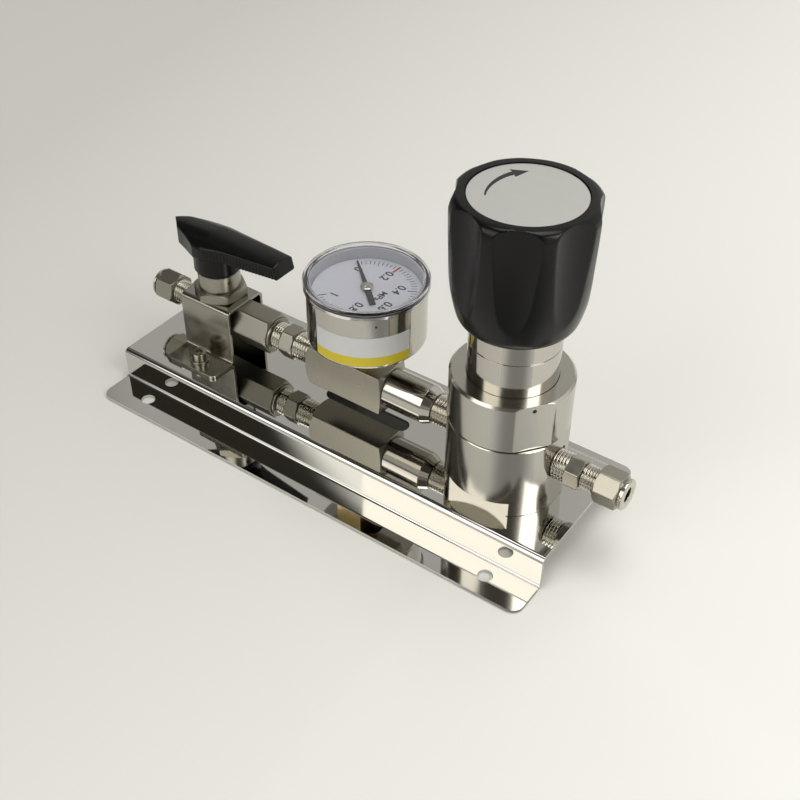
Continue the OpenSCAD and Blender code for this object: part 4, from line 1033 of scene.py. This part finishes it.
def outlet():
    thread("outlet_thread", 6.3, PIPE_R, 12, PIPE_PITCH, row(OUTLET_X), OUTLET_BORE_R)
    hex_bar("outlet_hex", OUTLET_FLATS, OUTLET_HEX, SATIN, row(OUTLET_HEX_X), 0, 0.6, OUTLET_BORE_R,
            node="outlet_connector", slot="satin_steel")
    thread("outlet_stub", STUB_R, STUB_R, 11.7, STUB_PITCH, row(OUTLET_STUB_X), TUBE_R)


outlet()


# small holes, each a thin black disc of painted shade

# a hole's darkness as painted shade: a thin near-black disc set into the surface
def pit(name, r, place):
    lathe(name, [(0, -0.4), (r, -0.4), (r, 0.03), (0, 0.03)], PAINTED_SHADE, place, 0, 24, slot="black_paint")


pit("vent_hole", VENT_R, facing_out(up(REG, 0, VENT_Z, RING_FLAT_AT[0]), RING_FLAT, -0.35))
pit("body_dimple", DIMPLE_R, up(*DIMPLE_PLACE) @ Matrix.Rotation(rad(90 - SIDE_FLAT_LEAN), 4, "Y"))
pit("case_hole", CASE_HOLE_R, facing_out(up(GAUGE, 0, CASE_HOLE_Z, CASE_HOLE_AT), CASE_R + 0.05))


# pieces inside, copied from the CAD solids

def springy(node):
    """A copy of a CAD solid, riding on the panel, in place of the node."""
    ob = add_object(node + "_soft", frame["nodes"][node].data.copy(), POLISHED)
    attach(ob, "panel")
    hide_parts(node)
    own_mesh(ob)


springy("range_spring")
springy("poppet_spring")
springy("diaphragm")

# each piece that rides no other body belongs to the panel
cad = set(frame["nodes"].values())
for ob in list(scene.objects):
    if ob.type == "MESH" and ob not in cad and not body_of(ob):
        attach(ob, "panel")

# a CAD node shown as it is takes the finish of its slot
for item in frame["record"]["subparts"]:
    ob = frame["nodes"][item["node"]]
    ob.data.materials.clear()
    ob.data.materials.append(SLOTS[item["material_slot"]])


# stage

def backdrop(name, points, faces, mat):
    """A stage mesh, its points in metres."""
    me = bpy.data.meshes.new(name)
    me.from_pydata([Vector(p) for p in points], [], faces)
    ob = add_object(name, me, mat)
    return ob


def floor():
    """A pale floor with painted light: its colour grows lighter toward the right."""
    m = base_material("floor_with_painted_light", (0.75, 0.74, 0.72), 0.6, noise=4, rough_step=0.05, tint=0.01)
    nt = m.node_tree
    # painted light: the colour ramps from darker at the left to lighter at the right
    co = shader_node(nt, "TexCoord")
    dot = shader_node(nt, "VectorMath", {1: (3.8, 0.8, 0)}, operation="DOT_PRODUCT")
    fit = shader_node(nt, "MapRange", {"From Min": -1.2, "From Max": 1.2})
    ramp = shader_node(nt, "ValToRGB")
    ramp.color_ramp.elements[0].color = (0.56, 0.555, 0.525, 1)
    ramp.color_ramp.elements[1].color = (0.89, 0.89, 0.85, 1)
    nt.links.new(co.outputs["Object"], dot.inputs[0])
    nt.links.new(dot.outputs["Value"], fit.inputs["Value"])
    nt.links.new(fit.outputs[0], ramp.inputs[0])
    nt.links.new(ramp.outputs[0], nt.nodes["Principled BSDF"].inputs["Base Color"])
    far, z = 6, -0.0002
    backdrop("floor", [(-far, -far, z), (far, -far, z), (far, far, z), (-far, far, z)], [(0, 1, 2, 3)], m)


def glow(name, color, strength):
    m, nt = new_material(name)
    nt.nodes.clear()
    e = shader_node(nt, "Emission", {"Color": (*color, 1), "Strength": strength})
    o = shader_node(nt, "OutputMaterial")
    nt.links.new(e.outputs[0], o.inputs[0])
    return m


def only_reflected(ob):
    ob.visible_camera = False
    ob.visible_shadow = False
    ob.visible_diffuse = False


def warm_card():
    """An upright card in front of the part, turned toward it."""
    centre = Vector((-0.07, -0.37, 0.33))
    facing = (Vector((0.12, 0, 0.04)) - centre).normalized()
    side = facing.cross(Vector((0, 0, 1))).normalized()
    rise = side.cross(facing).normalized()
    side, rise = side * 0.13, rise * 0.11
    corners = [centre - side - rise, centre + side - rise, centre + side + rise, centre - side + rise]
    only_reflected(backdrop("card_warm", corners, [(0, 1, 2, 3)], glow("warm_card", (1.0, 0.965, 0.89), 2.7)))


def soft_glow(azimuth, inner, outer, core, rim):
    """A glow that fades from core to rim with the angle round the regulator."""
    m = glow("grey_card", core, 1.0)
    nt = m.node_tree
    co = shader_node(nt, "TexCoord")
    off = shader_node(nt, "VectorMath", {1: (REG * MM, 0, 0.0003)}, operation="SUBTRACT")
    unit = shader_node(nt, "VectorMath", operation="NORMALIZE")
    toward = (math.cos(rad(azimuth)), math.sin(rad(azimuth)), 0)
    dot = shader_node(nt, "VectorMath", {1: toward}, operation="DOT_PRODUCT")
    fit = shader_node(nt, "MapRange", {"From Min": math.cos(rad(outer)), "From Max": math.cos(rad(inner))},
                      interpolation_type="SMOOTHSTEP")
    mix = shader_node(nt, "Mix", {MIX_A: (*rim, 1), MIX_B: (*core, 1)}, data_type="RGBA")
    nt.links.new(co.outputs["Object"], off.inputs[0])
    nt.links.new(off.outputs[0], unit.inputs[0])
    nt.links.new(unit.outputs[0], dot.inputs[0])
    nt.links.new(dot.outputs["Value"], fit.inputs["Value"])
    nt.links.new(fit.outputs[0], mix.inputs[0])
    nt.links.new(mix.outputs[MIX_OUT], nt.nodes["Emission"].inputs["Color"])
    return m


def low_card():
    """A flat card close to the floor round the regulator's front."""
    n, start, end = 12, -88, -16
    points = [Vector((REG + r * math.cos(rad(a)), r * math.sin(rad(a)), 0.3)) * MM
              for r in (52, 220) for a in [start + (end - start) * k / n for k in range(n + 1)]]
    faces = [(k, k + 1, n + 2 + k, n + 1 + k) for k in range(n)]
    mat = soft_glow(-52, 6, 34, (0.33, 0.325, 0.305), (0.74, 0.73, 0.70))
    only_reflected(backdrop("card_low", points, faces, mat))


def area(name, loc, size, power, color):
    """A square lamp turned toward the part."""
    d = bpy.data.lights.new(name, "AREA")
    d.shape = "RECTANGLE"
    d.size = size
    d.size_y = size
    d.energy = power
    d.color = color
    ob = bpy.data.objects.new(name, d)
    ob.location = loc
    ob.rotation_euler = (Vector((0, 0, 0.05)) - Vector(loc)).to_track_quat("-Z", "Y").to_euler()
    scene.collection.objects.link(ob)


def surroundings():
    """Soft zones of light and dark, seen in the metal."""
    world = bpy.data.worlds.new("studio")
    scene.world = world
    world.use_nodes = True
    nt = world.node_tree
    sky = shader_node(nt, "TexCoord").outputs["Generated"]
    tone = shader_node(nt, "RGB").outputs[0]
    tone.default_value = BASE_TONE
    for azimuth, height, near, far, color in ZONES:
        level, rise = math.cos(rad(height)), math.sin(rad(height))
        toward = (math.cos(rad(azimuth)) * level, math.sin(rad(azimuth)) * level, rise)
        dot = shader_node(nt, "VectorMath", {1: toward}, operation="DOT_PRODUCT")
        zone = shader_node(nt, "MapRange", {"From Min": math.cos(rad(far)), "From Max": math.cos(rad(near))},
                           interpolation_type="SMOOTHSTEP")
        mix = shader_node(nt, "Mix", {MIX_B: (*color, 1)}, data_type="RGBA")
        nt.links.new(sky, dot.inputs[0])
        nt.links.new(dot.outputs["Value"], zone.inputs["Value"])
        nt.links.new(zone.outputs[0], mix.inputs[0])
        nt.links.new(tone, mix.inputs[MIX_A])
        tone = mix.outputs[MIX_OUT]
    nt.links.new(tone, nt.nodes["Background"].inputs["Color"])
    nt.nodes["Background"].inputs["Strength"].default_value = 1.0


def camera():
    """The photograph's view, fitted to it: place in millimetres, angles in degrees."""
    az, el, roll = rad(35.146), rad(40.069), rad(0.494)
    loc = Vector((252.328, -325.66, 366.401)) * MM
    focal, picture, sensor = 1185.6, 800, 36
    back = Vector((math.sin(az) * math.cos(el), -math.cos(az) * math.cos(el), math.sin(el)))
    level = Vector((math.cos(az), math.sin(az), 0))
    rise = back.cross(level)
    x = math.cos(roll) * level + math.sin(roll) * rise
    y = -math.sin(roll) * level + math.cos(roll) * rise
    data = bpy.data.cameras.new("camera")
    data.sensor_width = sensor
    data.lens = focal / picture * sensor
    data.clip_start = 0.01
    cam = bpy.data.objects.new("camera", data)
    scene.collection.objects.link(cam)
    cam.matrix_world = Matrix(((x.x, y.x, back.x, loc.x), (x.y, y.y, back.y, loc.y),
                               (x.z, y.z, back.z, loc.z), (0, 0, 0, 1)))
    scene.camera = cam


floor()
warm_card()
low_card()
area("top_light", (0.1, 0.25, 2.6), 1.7, 36, (1, 0.985, 0.96))
area("side_light", (2.0, -0.1, 1.6), 1.1, 17, (1, 0.98, 0.95))
surroundings()
camera()
scene.view_settings.view_transform = "Standard"
